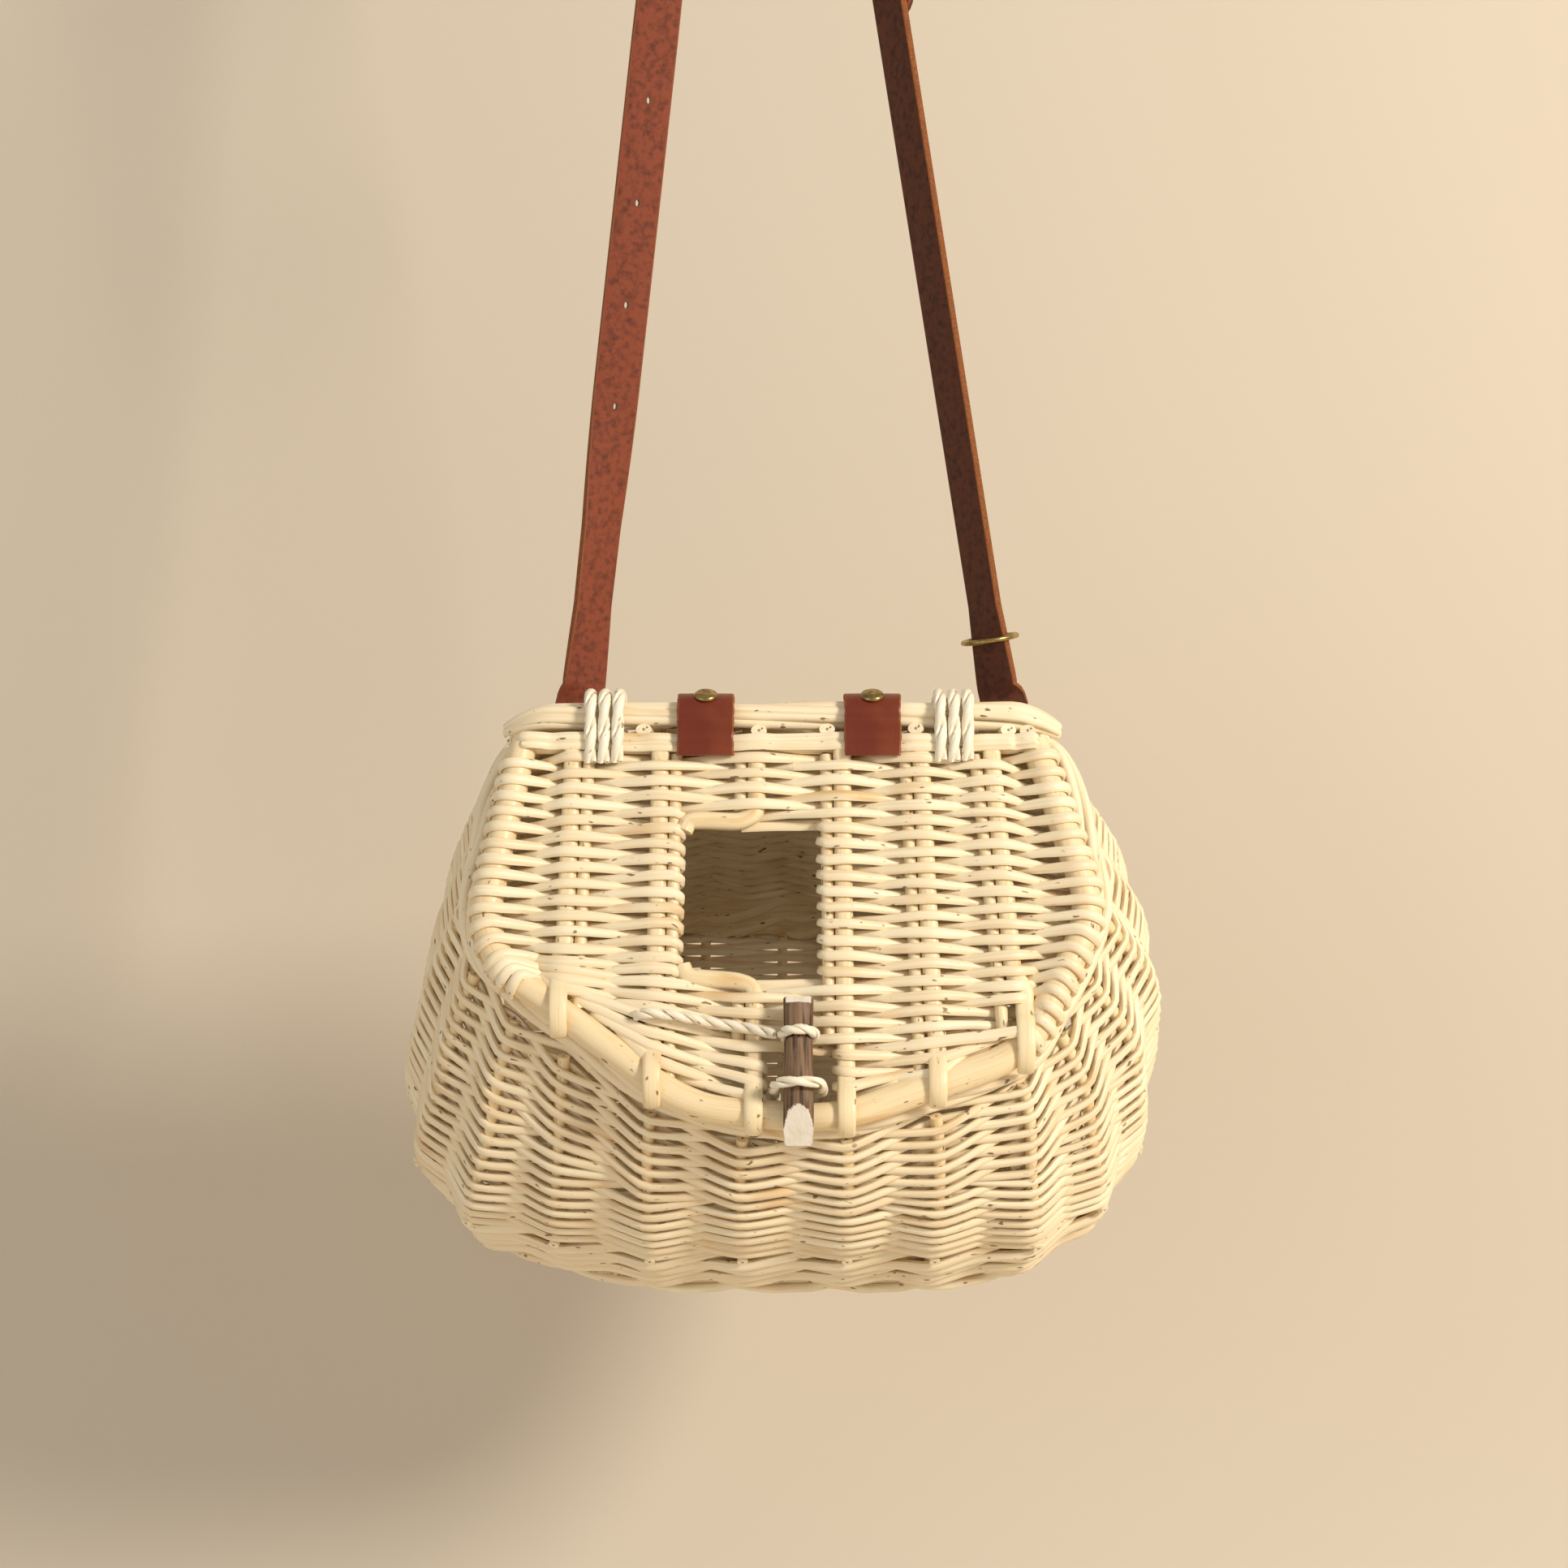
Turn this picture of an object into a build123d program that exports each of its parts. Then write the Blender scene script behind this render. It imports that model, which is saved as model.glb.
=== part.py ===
"""Wicker fishing creel with a hinged lid, hanging from its leather shoulder strap. Millimetres, +Z up.

The basket is built upright in its own frame: X to the right, Y to the back, Z up, origin in the middle of its foot.
The lid is built flat: X to the right, Y to the back, Z out of its top, origin on its hinge axis. Both are then hung
under the strap: the part's origin is the top of the strap's bight, where it lies over a peg or a shoulder.
"""

from build123d import *
from math import acos, atan2, cos, degrees, hypot, pi, radians, sin, tan
import os

# How it hangs
HANG_TILT = 51.5  # the basket leans this much under the strap, its front rim down: its balance
STRAP_DROP = 545.0  # from the bight down to the axis that the basket hangs from
BASKET_X = 8.0  # the basket's middle, beside the bight

# Gaps between pieces
RUNNING = 0.1  # radial, round a hinge rod
SEAT = 0.3  # pieces that rest on each other across a joint
WEAVE_GAP = 0.2  # weave beside a stake or rib

# Stakes: where they stand along the straight back and front, at the rim
BACK_STAKES_X = (-98.0, -57.0, -16.0, 25.0, 62.0, 101.5)
FRONT_STAKES_X = (110.0, 70.0, 29.0, -18.0, -60.0, -100.0)
SIDE_STAKES = 6  # on each side
STAKE_D = 6.0
STAKE_TOP_GAP = 1.6  # a leaning stake's cut end, under the border

# Foot, base and siding. An outline is (half width, y) at its back, widest and front corners, then their radii.
FOOT_D = 8.0
FOOT_FLAT = 0.5
BASE_T = 7.0
BASE_UNDER = 1.0  # the base is this far above the foot's underside
BASE_STICK_D = 6.6
BASE_STICKS_X = (-120.0, -80.0, -40.0, 0.0, 40.0, 80.0, 120.0)
BASE_OUTLINE = ((146.0, 88.0), (161.0, -50.0), (114.0, -109.0)), (42.0, 80.0, 90.0)
WALE_TOP_Z = 30.0
WALE_T = 12.0
BULGE_Z = 78.0
BULGE_OUTLINE = ((158.0, 92.0), (182.0, -45.0), (118.0, -113.0)), (42.0, 90.0, 100.0)
SIDING_T = 8.0

# Rim: a roll along the back, which the lid turns on, and a border round the sides and the front
ROLL_Y = 96.0
ROLL_Z = 196.0
ROLL_D = 14.0
ROLL_L = 262.0
RIM_SLOPE = 15.0  # the rim falls this much to the front
BORDER_D = 12.0
RIM_CORNERS = ((132, -3.5), (151, -95), (114, -166), (24, -195), (-44, -190), (-150, -112), (-132, -3.5))
RIM_RADII = (34, 45, 48, 90, 60, 48, 34)

# Lid
HOOP_D = 14.0
HOOP_CORNERS = ((-121, -12), (-140.5, -113), (-42, -187.5), (24, -193), (110, -162), (143.5, -97), (118, -12))
HOOP_RADII = (42, 60, 90, 45, 42)
RAIL_D = 7.0
RAIL_Y = -15.5
RIB_D = 8.5
LINER_D = 6.0
RIBS = ((-98, -102), (-57, -59), (-12, -13), (28, 29), (65, 70.5), (98, 111))  # x at the rail and at the hoop
LID_WEAVE_T = 8.0
HOLE_X = (-48.5, 18.2)
HOLE_Y = (-123.0, -56.0)
CRANK_X = -46.4  # the cranked rib ends here, beside a liner
SLOT_X = (-9.4, 24.2)
SLOT_Y = (-184.0, -161.5)

# Lid hinges
LOOP_STRAND_W = 6.4
LOOP_STRAND_T = 4.4
LOOP_STRANDS = 3
LOOP_PITCH = 6.9
LOOP_END = 26.0  # the strands end this far in front of the hinge axis
LOOPS_X = (-83.3, 80.4)
TAB_W = 26.5
TAB_T = 3.5
TAB_END = 20.0
TABS_X = (-35.9, 42.3)
RIVET_D = 11.5
RIVET_SHANK_D = 3.5
RIVET_H = 2.5
TAB_RIVET_ANGLE = 45.0

# Latch: a peg on a tether, held down by a staple loop
PEG_D = 13.4
PEG_L = 67.0
PEG_X = 7.3
PEG_TOP_Y = -139.7
PEG_BEVEL_L = 17.0
PEG_GROOVE_Y = -156.7
PEG_GROOVE_DEPTH = 1.8
PEG_NOTCH = 3.0
STAPLE_D = 5.0
STAPLE_CLEAR = 1.3
STAPLE_Y = -180.3
TETHER_D = 4.6

# Shoulder strap
STRAP_W = 22.0
STRAP_T = 3.5
STRAP_X = (-98.0, 107.0)  # its two ends, along the basket's back
STRAP_BAR_BELOW = 30.0  # the bars that it hangs from, below the roll's axis
STRAP_BAR_OFF = 11.5  # and behind the siding's middle
STRAP_BAR_D = 6.0
STRAP_LEG_SPREAD = 15.0  # half the distance between a bar's two legs
STRAP_LEG_IN = 20.0
TURN_BACK = 22.0  # length of the riveted turn at the basket
TURN_RIVET = 13.6
BIGHT_R = 28.0
LEFT_TWIST = ((22, 0), (62, 45), (100, 42), (165, 15), (330, 15), (430, 45), (500, 90))  # along the strap, degrees
RIGHT_TWIST = ((22, 0), (62, 55))
TWIST_STEP = 12.0
TOP_TWIST_L = 60.0  # the strap's last twist, down from the bight on the right
HOLE_D = 4.2
HOLE_PITCH = 48.0
FIRST_HOLE = 156.0
BUCKLE_HOLE = 12  # the tongue is in this hole, counted from the first
TAIL_L = 64.0

# Buckle, a sliding keeper ring and small rivets
BUCKLE_WIRE_D = 3.5
BUCKLE_W = 32.0
BUCKLE_L = 27.0
BUCKLE_R = 4.0
TONGUE_D = 2.6
FOLD_L = 38.0
FOLD_RIVETS = (17.0, 31.0)
SMALL_RIVET_D = 8.0
SMALL_RIVET_H = 1.2
SMALL_SHANK_D = 3.0
RING_INNER_D = 23.0
RING_WIRE_D = 2.6
RING_UP = 46.0  # along the strap from the axis it hangs from

SAMPLES = 720  # points along a closed outline, to find where it passes a stake
ROD_SIDES = 8  # flat sides of a willow rod
ROUND_SIDES = 20  # and of the larger round pieces
FLAT = 0.002


# Placing


def lid_place():
    """The lid's frame in the basket's."""
    return Pos(0, ROLL_Y, ROLL_Z) * Rot(RIM_SLOPE, 0, 0)


def strap_bar_point():
    """Y and Z of the axis that the basket hangs from."""
    return ROLL_Y + STRAP_BAR_OFF - 1.0, ROLL_Z - STRAP_BAR_BELOW


def hang():
    """The basket's frame in the part's: turned about the strap bars, under the bight."""
    bar_y, bar_z = strap_bar_point()
    return Pos(BASKET_X, STRAP_T / 2, -STRAP_DROP) * Rot(HANG_TILT, 0, 0) * Pos(0, -bar_y, -bar_z)


def save(name, solids, place=None):
    """Writes one node, a solid or a group of solids."""
    solids = [s for item in solids for s in item.solids()]
    if place is not None:
        solids = [place * s for s in solids]
    export_step(Compound(children=solids), f"parts/{name}.step")


# Small shapes


def rod(start, end, diameter, sides=ROD_SIDES):
    """A straight rod between two points, with flat sides."""
    start, end = Vector(*start), Vector(*end)
    plane = Plane(origin=start, z_dir=end - start)
    return extrude(plane * RegularPolygon(diameter / 2, sides), (end - start).length)


def bent_rod(points, diameter, sides=ROD_SIDES):
    """A rod along straight runs, mitred at its corners. It's closed if its first point is also its last."""
    path = Polyline(*points)
    section = Plane(origin=path @ 0, z_dir=path % 0) * RegularPolygon(diameter / 2, sides)
    return sweep(section, path=path, transition=Transition.RIGHT)


def ring_of(radius, diameter, around=24, sides=8):
    """A ring about Z, mitred at each of its corners."""
    turn = 2 * pi / around
    half = diameter / 2
    section = [(radius + half * cos(2 * pi * k / sides), half * sin(2 * pi * k / sides)) for k in range(sides)]
    faces = []
    for i in range(around):
        for low, high in zip(section, section[1:] + section[:1]):
            corners = [(low, i), (high, i), (high, i + 1), (low, i + 1)]
            points = [Vector(r * cos(k * turn), r * sin(k * turn), z) for (r, z), k in corners]
            faces.append(Face(Wire.make_polygon(points, close=True)))
    return Solid(Shell(faces))


def convex(low, high):
    """A solid between two level quads, each face that isn't flat folded outwards along a diagonal."""
    middle = sum(low + high, Vector(0, 0, 0)) / 8
    quads = [low, high] + [[low[k], low[(k + 1) % 4], high[(k + 1) % 4], high[k]] for k in range(4)]
    faces = []
    for quad in quads:
        a, b, c, d = quad
        out = (b - a).cross(c - a)
        out = out if out.dot(a - middle) > 0 else out * -1
        rise = (d - a).dot(out) / out.length
        if abs(rise) < FLAT:
            faces.append(quad)
        else:
            faces += [[a, b, c], [a, c, d]] if rise < 0 else [[a, b, d], [b, c, d]]
    return Solid(Shell([Face(Wire.make_polygon(face, close=True)) for face in faces]))


def prism(points, width):
    """A profile in Y and Z, extruded along X, its middle at X = 0."""
    return extrude(Plane.YZ * make_face(Polyline(*points, close=True)), width / 2, both=True)


def rivet(head_d, head_h, shank_d, shank_l, both_ends=False):
    """A domed rivet along Z: its head stands on Z = 0 and its shank goes down."""
    sizes = ((head_d / 2, 0), (head_d * 0.42, head_h * 0.6), (head_d * 0.22, head_h))
    dome = loft([Plane.XY.offset(z) * RegularPolygon(r, 12) for r, z in sizes], ruled=True)
    body = dome + extrude(RegularPolygon(shank_d / 2, ROD_SIDES), -shank_l)
    if both_ends:
        body += Pos(0, 0, -shank_l) * Rot(180, 0, 0) * dome
    return body


# Outlines and stakes


def ring_outline(corners, radii):
    """A closed outline, symmetrical in X, clockwise from the back right corner."""
    right = [(x, y) for x, y in corners]
    left = [(-x, y) for x, y in reversed(corners)]
    return FilletPolyline(*right, *left, radius=[*radii, *reversed(radii)], close=True)


def walk(outline):
    """Evenly spaced points along a closed outline, clockwise seen from above."""
    points = [outline @ (i / SAMPLES) for i in range(SAMPLES)]
    area = sum(a.X * b.Y - b.X * a.Y for a, b in zip(points, points[1:] + points[:1]))
    return points[::-1] if area > 0 else points


def passing(points, x, front):
    """The index, with its fraction, at which a walk passes x along its front or its back."""
    middle = sum(p.Y for p in points) / len(points)
    for i, p in enumerate(points):
        q = points[(i + 1) % len(points)]
        if (p.Y < middle) == front and min(p.X, q.X) <= x < max(p.X, q.X):
            return i + (x - p.X) / (q.X - p.X)
    raise ValueError("the outline doesn't reach this stake")


def at_index(points, index):
    """The point of a walk at a fractional index."""
    i = int(index) % len(points)
    part = index - int(index)
    return points[i] * (1 - part) + points[(i + 1) % len(points)] * part


def stations(outline, spread):
    """Every stake's place on an outline, clockwise from the back left one."""
    points = walk(outline)
    back = [passing(points, x * spread, False) for x in BACK_STAKES_X]
    front = [passing(points, x * spread, True) for x in FRONT_STAKES_X]
    right = side_steps(points, back[-1], front[0])
    left = side_steps(points, front[-1], back[0])
    return [at_index(points, i) for i in [*back, *right, *front, *left]]


def side_steps(points, start, end):
    """Evenly spaced indices between two others, going clockwise."""
    gap = (end - start) % len(points)
    return [start + gap * k / (SIDE_STAKES + 1) for k in range(1, SIDE_STAKES + 1)]


def under_roll(i):
    """Whether stake i ends under the roll: the first and the last back stakes end under the border's ends."""
    return 0 < i < len(BACK_STAKES_X) - 1


def rim_outline():
    """The border's axis, in the lid's frame."""
    return FilletPolyline(*RIM_CORNERS, radius=RIM_RADII, close=True)


def border_z():
    """The border's axis below the lid's middle plane."""
    return -(HOOP_D / 2 + SEAT + BORDER_D / 2)


def stake_levels():
    """For each stake its points at the foot, the bulge, the siding's top and its own top."""
    place = lid_place()
    under = border_z() - BORDER_D / 2 - WEAVE_GAP
    base = stations(ring_outline(*BASE_OUTLINE), 1.0)
    bulge = stations(ring_outline(*BULGE_OUTLINE), 1.05)
    border = stations(rim_outline(), 1.0)
    levels = []
    for i, (b, m, r) in enumerate(zip(base, bulge, border)):
        foot, middle = Vector(b.X, b.Y, 0), Vector(m.X, m.Y, BULGE_Z)
        if under_roll(i):
            rim = Vector(r.X, ROLL_Y, ROLL_Z)
            woven = rise_to(middle, rim, ROLL_Z - ROLL_D / 2 - LOOP_STRAND_T - 2.0, Location())
            top = rise_to(middle, rim, ROLL_Z - ROLL_D / 2 - WEAVE_GAP, Location())
        else:
            rim = (place * Pos(r.X, r.Y, border_z())).position
            woven = rise_to(middle, rim, under, place)
            top = rise_to(middle, rim, under - STAKE_TOP_GAP, place)
        levels.append((foot, middle, woven, top))
    return levels


def rise_to(low, high, height, place):
    """The point on a line at which it reaches a height, measured in a placed frame."""
    up = place.inverse()
    low_z, high_z = (up * Pos(*low)).position.Z, (up * Pos(*high)).position.Z
    return low + (high - low) * ((height - low_z) / (high_z - low_z))


# Basket


def stake_reach(lean, along):
    """How far a leaning stake's level section reaches along a direction."""
    flat = Vector(along.X, along.Y, 0).normalized()
    side = Vector(-flat.Y, flat.X, 0)
    lean_along, lean_side = lean.dot(flat) / lean.Z, lean.dot(side) / lean.Z
    stretch = (lean_along**2 + lean_side**2) or 1.0
    reach = (1 + stretch) * lean_along**2 / stretch + lean_side**2 / stretch
    return STAKE_D / 2 * max(1.0, reach) ** 0.5 + 3.5 * WEAVE_GAP


def bay_quad(a, b, lean_a, lean_b, thickness):
    """The section of the weave between two stakes, at one level."""
    along = (b - a).normalized()
    out = Vector(-along.Y, along.X, 0).normalized() * (thickness / 2)
    a = a + along * max(stake_reach(lean, along) for lean in lean_a)
    b = b - along * max(stake_reach(lean, along) for lean in lean_b)
    return [a - out, b - out, b + out, a + out]


def bay(a, b, levels, leans, thickness):
    """A bay of weave between two stakes, from one of their points to the next."""
    return convex(*[bay_quad(a[i], b[i], leans(a), leans(b), thickness) for i in levels])


def lower_lean(stake):
    return [stake[1] - stake[0]]


def upper_lean(stake):
    return [stake[-1] - stake[1]]


def both_leans(stake):
    return lower_lean(stake) + upper_lean(stake)


def bay_rod(a, b, diameter, inset_a, inset_b, sides):
    """One stroke of a border, from near a stake to near the next."""
    along = (b - a).normalized()
    return rod(a + along * inset_a, b - along * inset_b, diameter, sides)


def side_stakes(levels):
    """Each stake is bent at the bulge."""
    lift = Vector(0, 0, FOOT_FLAT)
    return [bent_rod([foot + lift, middle, top], STAKE_D, 6) for foot, middle, _, top in levels]


def foot_border(pairs):
    """The scalloped border underneath, cut flat where it stands."""
    lift = Vector(0, 0, FOOT_D / 2 - FOOT_FLAT)
    floor = Pos(0, 0, -FOOT_D) * Box(500, 400, 2 * FOOT_D)
    inset = STAKE_D / 2 + 3 * WEAVE_GAP
    return [bay_rod(a[0] + lift, b[0] + lift, FOOT_D, inset, inset, ROD_SIDES) - floor for a, b in pairs]


def with_wale(stake):
    """A stake's points, with those at the bottom and the top of the wale put in second and third."""
    foot, middle = stake[0], stake[1]
    low = BASE_UNDER + BASE_T + WEAVE_GAP
    run = (middle - foot) / BULGE_Z
    return foot, middle, foot + run * low, foot + run * (WALE_TOP_Z - WEAVE_GAP), foot + run * WALE_TOP_Z


def upsett_wale(pairs):
    """The thick band of weave that turns up the stakes."""
    return [bay(with_wale(a), with_wale(b), (2, 3), lower_lean, WALE_T) for a, b in pairs]


def siding(pairs):
    """The randed siding of a run of bays, below and above the bulge."""
    lower = [bay(with_wale(a), with_wale(b), (4, 1), both_leans, SIDING_T) for a, b in pairs]
    upper = [bay(a, b, (1, 2), both_leans, SIDING_T) for a, b in pairs]
    return lower + upper


def border_points():
    """Where the border passes each stake, in the lid's frame."""
    return [Vector(p.X, p.Y, border_z()) for p in stations(rim_outline(), 1.0)]


def mitre(points, i, diameter):
    """How much of a stroke is left out at a corner, so that it only touches the next one."""
    before = points[i] - points[i - 1]
    after = points[(i + 1) % len(points)] - points[i]
    return diameter / 2 * tan(radians(before.get_angle(after)) / 2) + WEAVE_GAP / 4


def top_border():
    """The border of the sides and the front, one stroke to a bay."""
    points = border_points()
    strokes = []
    for i in range(len(BACK_STAKES_X) - 1, len(points)):
        j = (i + 1) % len(points)
        cut_i, cut_j = mitre(points, i, BORDER_D), mitre(points, j, BORDER_D)
        strokes.append(bay_rod(points[i], points[j], BORDER_D, cut_i, cut_j, 12))
    return strokes


def base_plate(levels):
    """The base's outline, inside the foot border."""
    sheet = make_face(Polyline(*[stake[0] for stake in levels], close=True))
    inside = offset(sheet, -(FOOT_D / 2 + WEAVE_GAP), kind=Kind.INTERSECTION)
    return extrude(Plane.XY.offset(BASE_UNDER) * inside, BASE_T)


def base_sticks(plate):
    """Sticks from front to back, which the base is woven on."""
    sticks = []
    for x in BASE_STICKS_X:
        long_rod = rod((x, 200, BASE_UNDER + BASE_T / 2), (x, -200, BASE_UNDER + BASE_T / 2), BASE_STICK_D)
        sticks.append(long_rod & plate)
    return sticks


def base_weave(plate):
    """The woven base between its sticks."""
    weave = plate
    for x in BASE_STICKS_X:
        weave -= Pos(x, 0, 0) * Box(BASE_STICK_D + 2 * WEAVE_GAP, 400, 40)
    return [weave]


def strap_loop(x):
    """A willow loop that stands out of the back: the strap's bar and its two legs."""
    bar_y, bar_z = strap_bar_point()
    points = [(-STRAP_LEG_SPREAD, -STRAP_LEG_IN), (-STRAP_LEG_SPREAD, 0)]
    points += [(STRAP_LEG_SPREAD, 0), (STRAP_LEG_SPREAD, -STRAP_LEG_IN)]
    path = Polyline(*points)
    section = Plane(origin=path @ 0, z_dir=path % 0) * Circle(STRAP_BAR_D / 2)
    return Pos(x, bar_y, bar_z) * sweep(section, path=path, transition=Transition.RIGHT)


def leg_holes():
    """What the strap loops' legs take out of the siding."""
    bar_y, bar_z = strap_bar_point()
    holes = []
    for x in STRAP_X:
        for side in (-1, 1):
            leg_x = x + side * STRAP_LEG_SPREAD
            start = (leg_x, bar_y - STRAP_LEG_IN - 1, bar_z)
            hole_d = STRAP_BAR_D / cos(pi / ROD_SIDES) + 2 * RUNNING
            holes.append(rod(start, (leg_x, bar_y - STRAP_BAR_D, bar_z), hole_d))
    return holes


# Lid


def hoop_path():
    return FilletPolyline(*HOOP_CORNERS, radius=HOOP_RADII)


def lid_hoop():
    path = hoop_path()
    return sweep(Plane(origin=path @ 0, z_dir=path % 0) * RegularPolygon(HOOP_D / 2, 12), path=path)


def rail_ends():
    """X of the rear rail's two ends, where it meets the hoop."""
    slope_left = (HOOP_CORNERS[1][0] - HOOP_CORNERS[0][0]) / (HOOP_CORNERS[1][1] - HOOP_CORNERS[0][1])
    slope_right = (HOOP_CORNERS[-2][0] - HOOP_CORNERS[-1][0]) / (HOOP_CORNERS[-2][1] - HOOP_CORNERS[-1][1])
    left = HOOP_CORNERS[0][0] + slope_left * (RAIL_Y - HOOP_CORNERS[0][1])
    right = HOOP_CORNERS[-1][0] + slope_right * (RAIL_Y - HOOP_CORNERS[-1][1])
    return left, right


def lid_rear_rail(hoop):
    left, right = rail_ends()
    return rod((left, RAIL_Y, 0), (right, RAIL_Y, 0), RAIL_D) - hoop


def rib_line(x_rail, x_hoop, beside=0.0):
    """A rib's axis, from the rail to past the hoop's inside."""
    start = Vector(x_rail + beside, RAIL_Y - RAIL_D / 2 - 3 * WEAVE_GAP, 0)
    return start, Vector(x_hoop + beside, min(y for _, y in HOOP_CORNERS), 0)


def inside_hoop(stick, hoop):
    """The part of a stick that ends at the hoop's inside."""
    return (stick - hoop).solids().sort_by(Axis.Y)[-1]


def liner_side(rib):
    """A liner lies on its rib's right, left of the fish hole, and on its left elsewhere."""
    return 1 if rib[0] < HOLE_X[0] else -1


def liner_beside():
    return (RIB_D + LINER_D) / 2 + RUNNING


def cranked(rib):
    """The rib that the fish hole interrupts."""
    return HOLE_X[0] < rib[0] < HOLE_X[1]


def lid_ribs(hoop):
    return [inside_hoop(rod(*rib_line(*rib), RIB_D), hoop) for rib in RIBS if not cranked(rib)]


def lid_rib_liners(hoop):
    """The thinner rod beside each rib."""
    slot = box_between((SLOT_X[0], SLOT_X[1] + 1), (2 * SLOT_Y[0], SLOT_Y[1]), (-20, 20))
    liners = []
    for rib in RIBS:
        beside = liner_side(rib) * liner_beside()
        liner = inside_hoop(rod(*rib_line(*rib, beside), LINER_D), hoop) - slot
        if cranked(rib):
            liner = liner - hole_box(RIB_D + WEAVE_GAP)
        liners.append(liner)
    return liners


def box_between(x, y, z):
    """A box from its limits along each axis."""
    centre = Pos(sum(x) / 2, sum(y) / 2, sum(z) / 2)
    return centre * Box(x[1] - x[0], y[1] - y[0], z[1] - z[0])


def hole_box(margin=0.0):
    x, y = HOLE_X, HOLE_Y
    return box_between((x[0] - margin, x[1] + margin), (y[0] - margin, y[1] + margin), (-20, 20))


def fish_hole_frame(hoop):
    """The interrupted rib: each half is cranked to the left, along an edge of the fish hole."""
    rib = next(rib for rib in RIBS if cranked(rib))
    start, end = rib_line(*rib)
    left = CRANK_X
    high, low = HOLE_Y[1] - RIB_D / 2 + RIB_D, HOLE_Y[0] + RIB_D / 2 - RIB_D
    upper = bent_rod([(start.X, start.Y), (start.X, high), (left, high)], RIB_D)
    lower = bent_rod([(left, low), (end.X, low), (end.X, end.Y)], RIB_D)
    return [upper, lower - hoop]


def lid_weave(hoop, frame):
    """The weave between the ribs, with the fish hole and the latch slot left open."""
    left, right = rail_ends()
    inside = [(left, RAIL_Y - RAIL_D / 2 - WEAVE_GAP), *HOOP_CORNERS[1:-1], (right, RAIL_Y - RAIL_D / 2 - WEAVE_GAP)]
    edge = FilletPolyline(*inside, radius=HOOP_RADII)
    sheet = make_face([*edge.edges(), Line(edge @ 1, edge @ 0)])
    weave = extrude(Plane.XY.offset(-LID_WEAVE_T / 2) * sheet, LID_WEAVE_T)
    weave -= hoop
    for rib in RIBS:
        start, end = rib_line(*rib)
        side = -liner_side(rib) * (RIB_D / 2 + WEAVE_GAP)
        over = liner_side(rib) * (liner_beside() + LINER_D / 2 + WEAVE_GAP)
        run = (end - start).normalized() * 20
        start, end = start - run, end + run
        corners = [(start.X + side, start.Y), (end.X + side, end.Y)]
        corners += [(end.X + over, end.Y), (start.X + over, start.Y)]
        groove = extrude(make_face(Polyline(*corners, close=True)), LID_WEAVE_T, both=True)
        weave -= groove
    weave -= hole_box()
    weave -= box_between(SLOT_X, (SLOT_Y[0] - 20, SLOT_Y[1]), (-20, 20))
    strip = RIB_D + WEAVE_GAP
    crank_x = HOLE_X[0], next(rib[0] for rib in RIBS if cranked(rib))
    weave -= box_between(crank_x, (HOLE_Y[1], HOLE_Y[1] + strip), (-20, 20))
    weave -= box_between(crank_x, (HOLE_Y[0] - strip, HOLE_Y[0]), (-20, 20))
    for piece in frame:
        weave -= piece
    return [s for s in weave.solids() if s.volume > 300]


# Lid hinges


def hinge_wrap(width, thickness, end):
    """A band round the roll, with a flap that lies on the lid."""
    inner = ROLL_D / 2 + RUNNING
    on_lid = LID_WEAVE_T / 2
    lie = 2 * inner
    flap = [(0, inner), (-lie, on_lid), (-end, on_lid), (-end, on_lid + thickness)]
    flap += [(-lie, on_lid + thickness), (0, inner + thickness)]
    outside, inside = around_circle(inner + thickness), around_circle(inner)
    profile = outside + make_face(Polyline(*flap, close=True)) - inside
    return extrude(Plane.YZ * profile, width / 2, both=True)


def around_circle(radius):
    """A polygon whose flats touch a circle."""
    return RegularPolygon(radius, ROUND_SIDES, major_radius=False)


def willow_hinge(x):
    """Strands wrapped side by side round the roll and the lid's rear rail."""
    middle = (LOOP_STRANDS - 1) / 2
    strand = hinge_wrap(LOOP_STRAND_W, LOOP_STRAND_T, LOOP_END)
    return [Pos(x + (i - middle) * LOOP_PITCH, 0, 0) * strand for i in range(LOOP_STRANDS)]


def tab_rivet(x):
    """A rivet through a leather tab, behind the top of the roll."""
    out = ROLL_D / 2 + RUNNING + TAB_T
    turn = Rot(TAB_RIVET_ANGLE - 90, 0, 0)
    return Pos(x, 0, 0) * turn * Pos(0, 0, out) * rivet(RIVET_D, RIVET_H, RIVET_SHANK_D, TAB_T)


def leather_hinge(x):
    tab = Pos(x, 0, 0) * hinge_wrap(TAB_W, TAB_T, TAB_END)
    out = ROLL_D / 2 + RUNNING
    seat = Pos(x, 0, 0) * Rot(TAB_RIVET_ANGLE - 90, 0, 0) * Pos(0, 0, out + TAB_T)
    hole = extrude(RegularPolygon(RIVET_SHANK_D / 2 + RUNNING / 2, ROD_SIDES), 2 * TAB_T, both=True)
    return tab - seat * Box(RIVET_D, RIVET_D, 0.4) - seat * hole


# Latch


def peg_z():
    """The peg's axis above the lid's middle plane: it lies on the hoop."""
    return (HOOP_D + PEG_D) / 2 + SEAT


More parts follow.
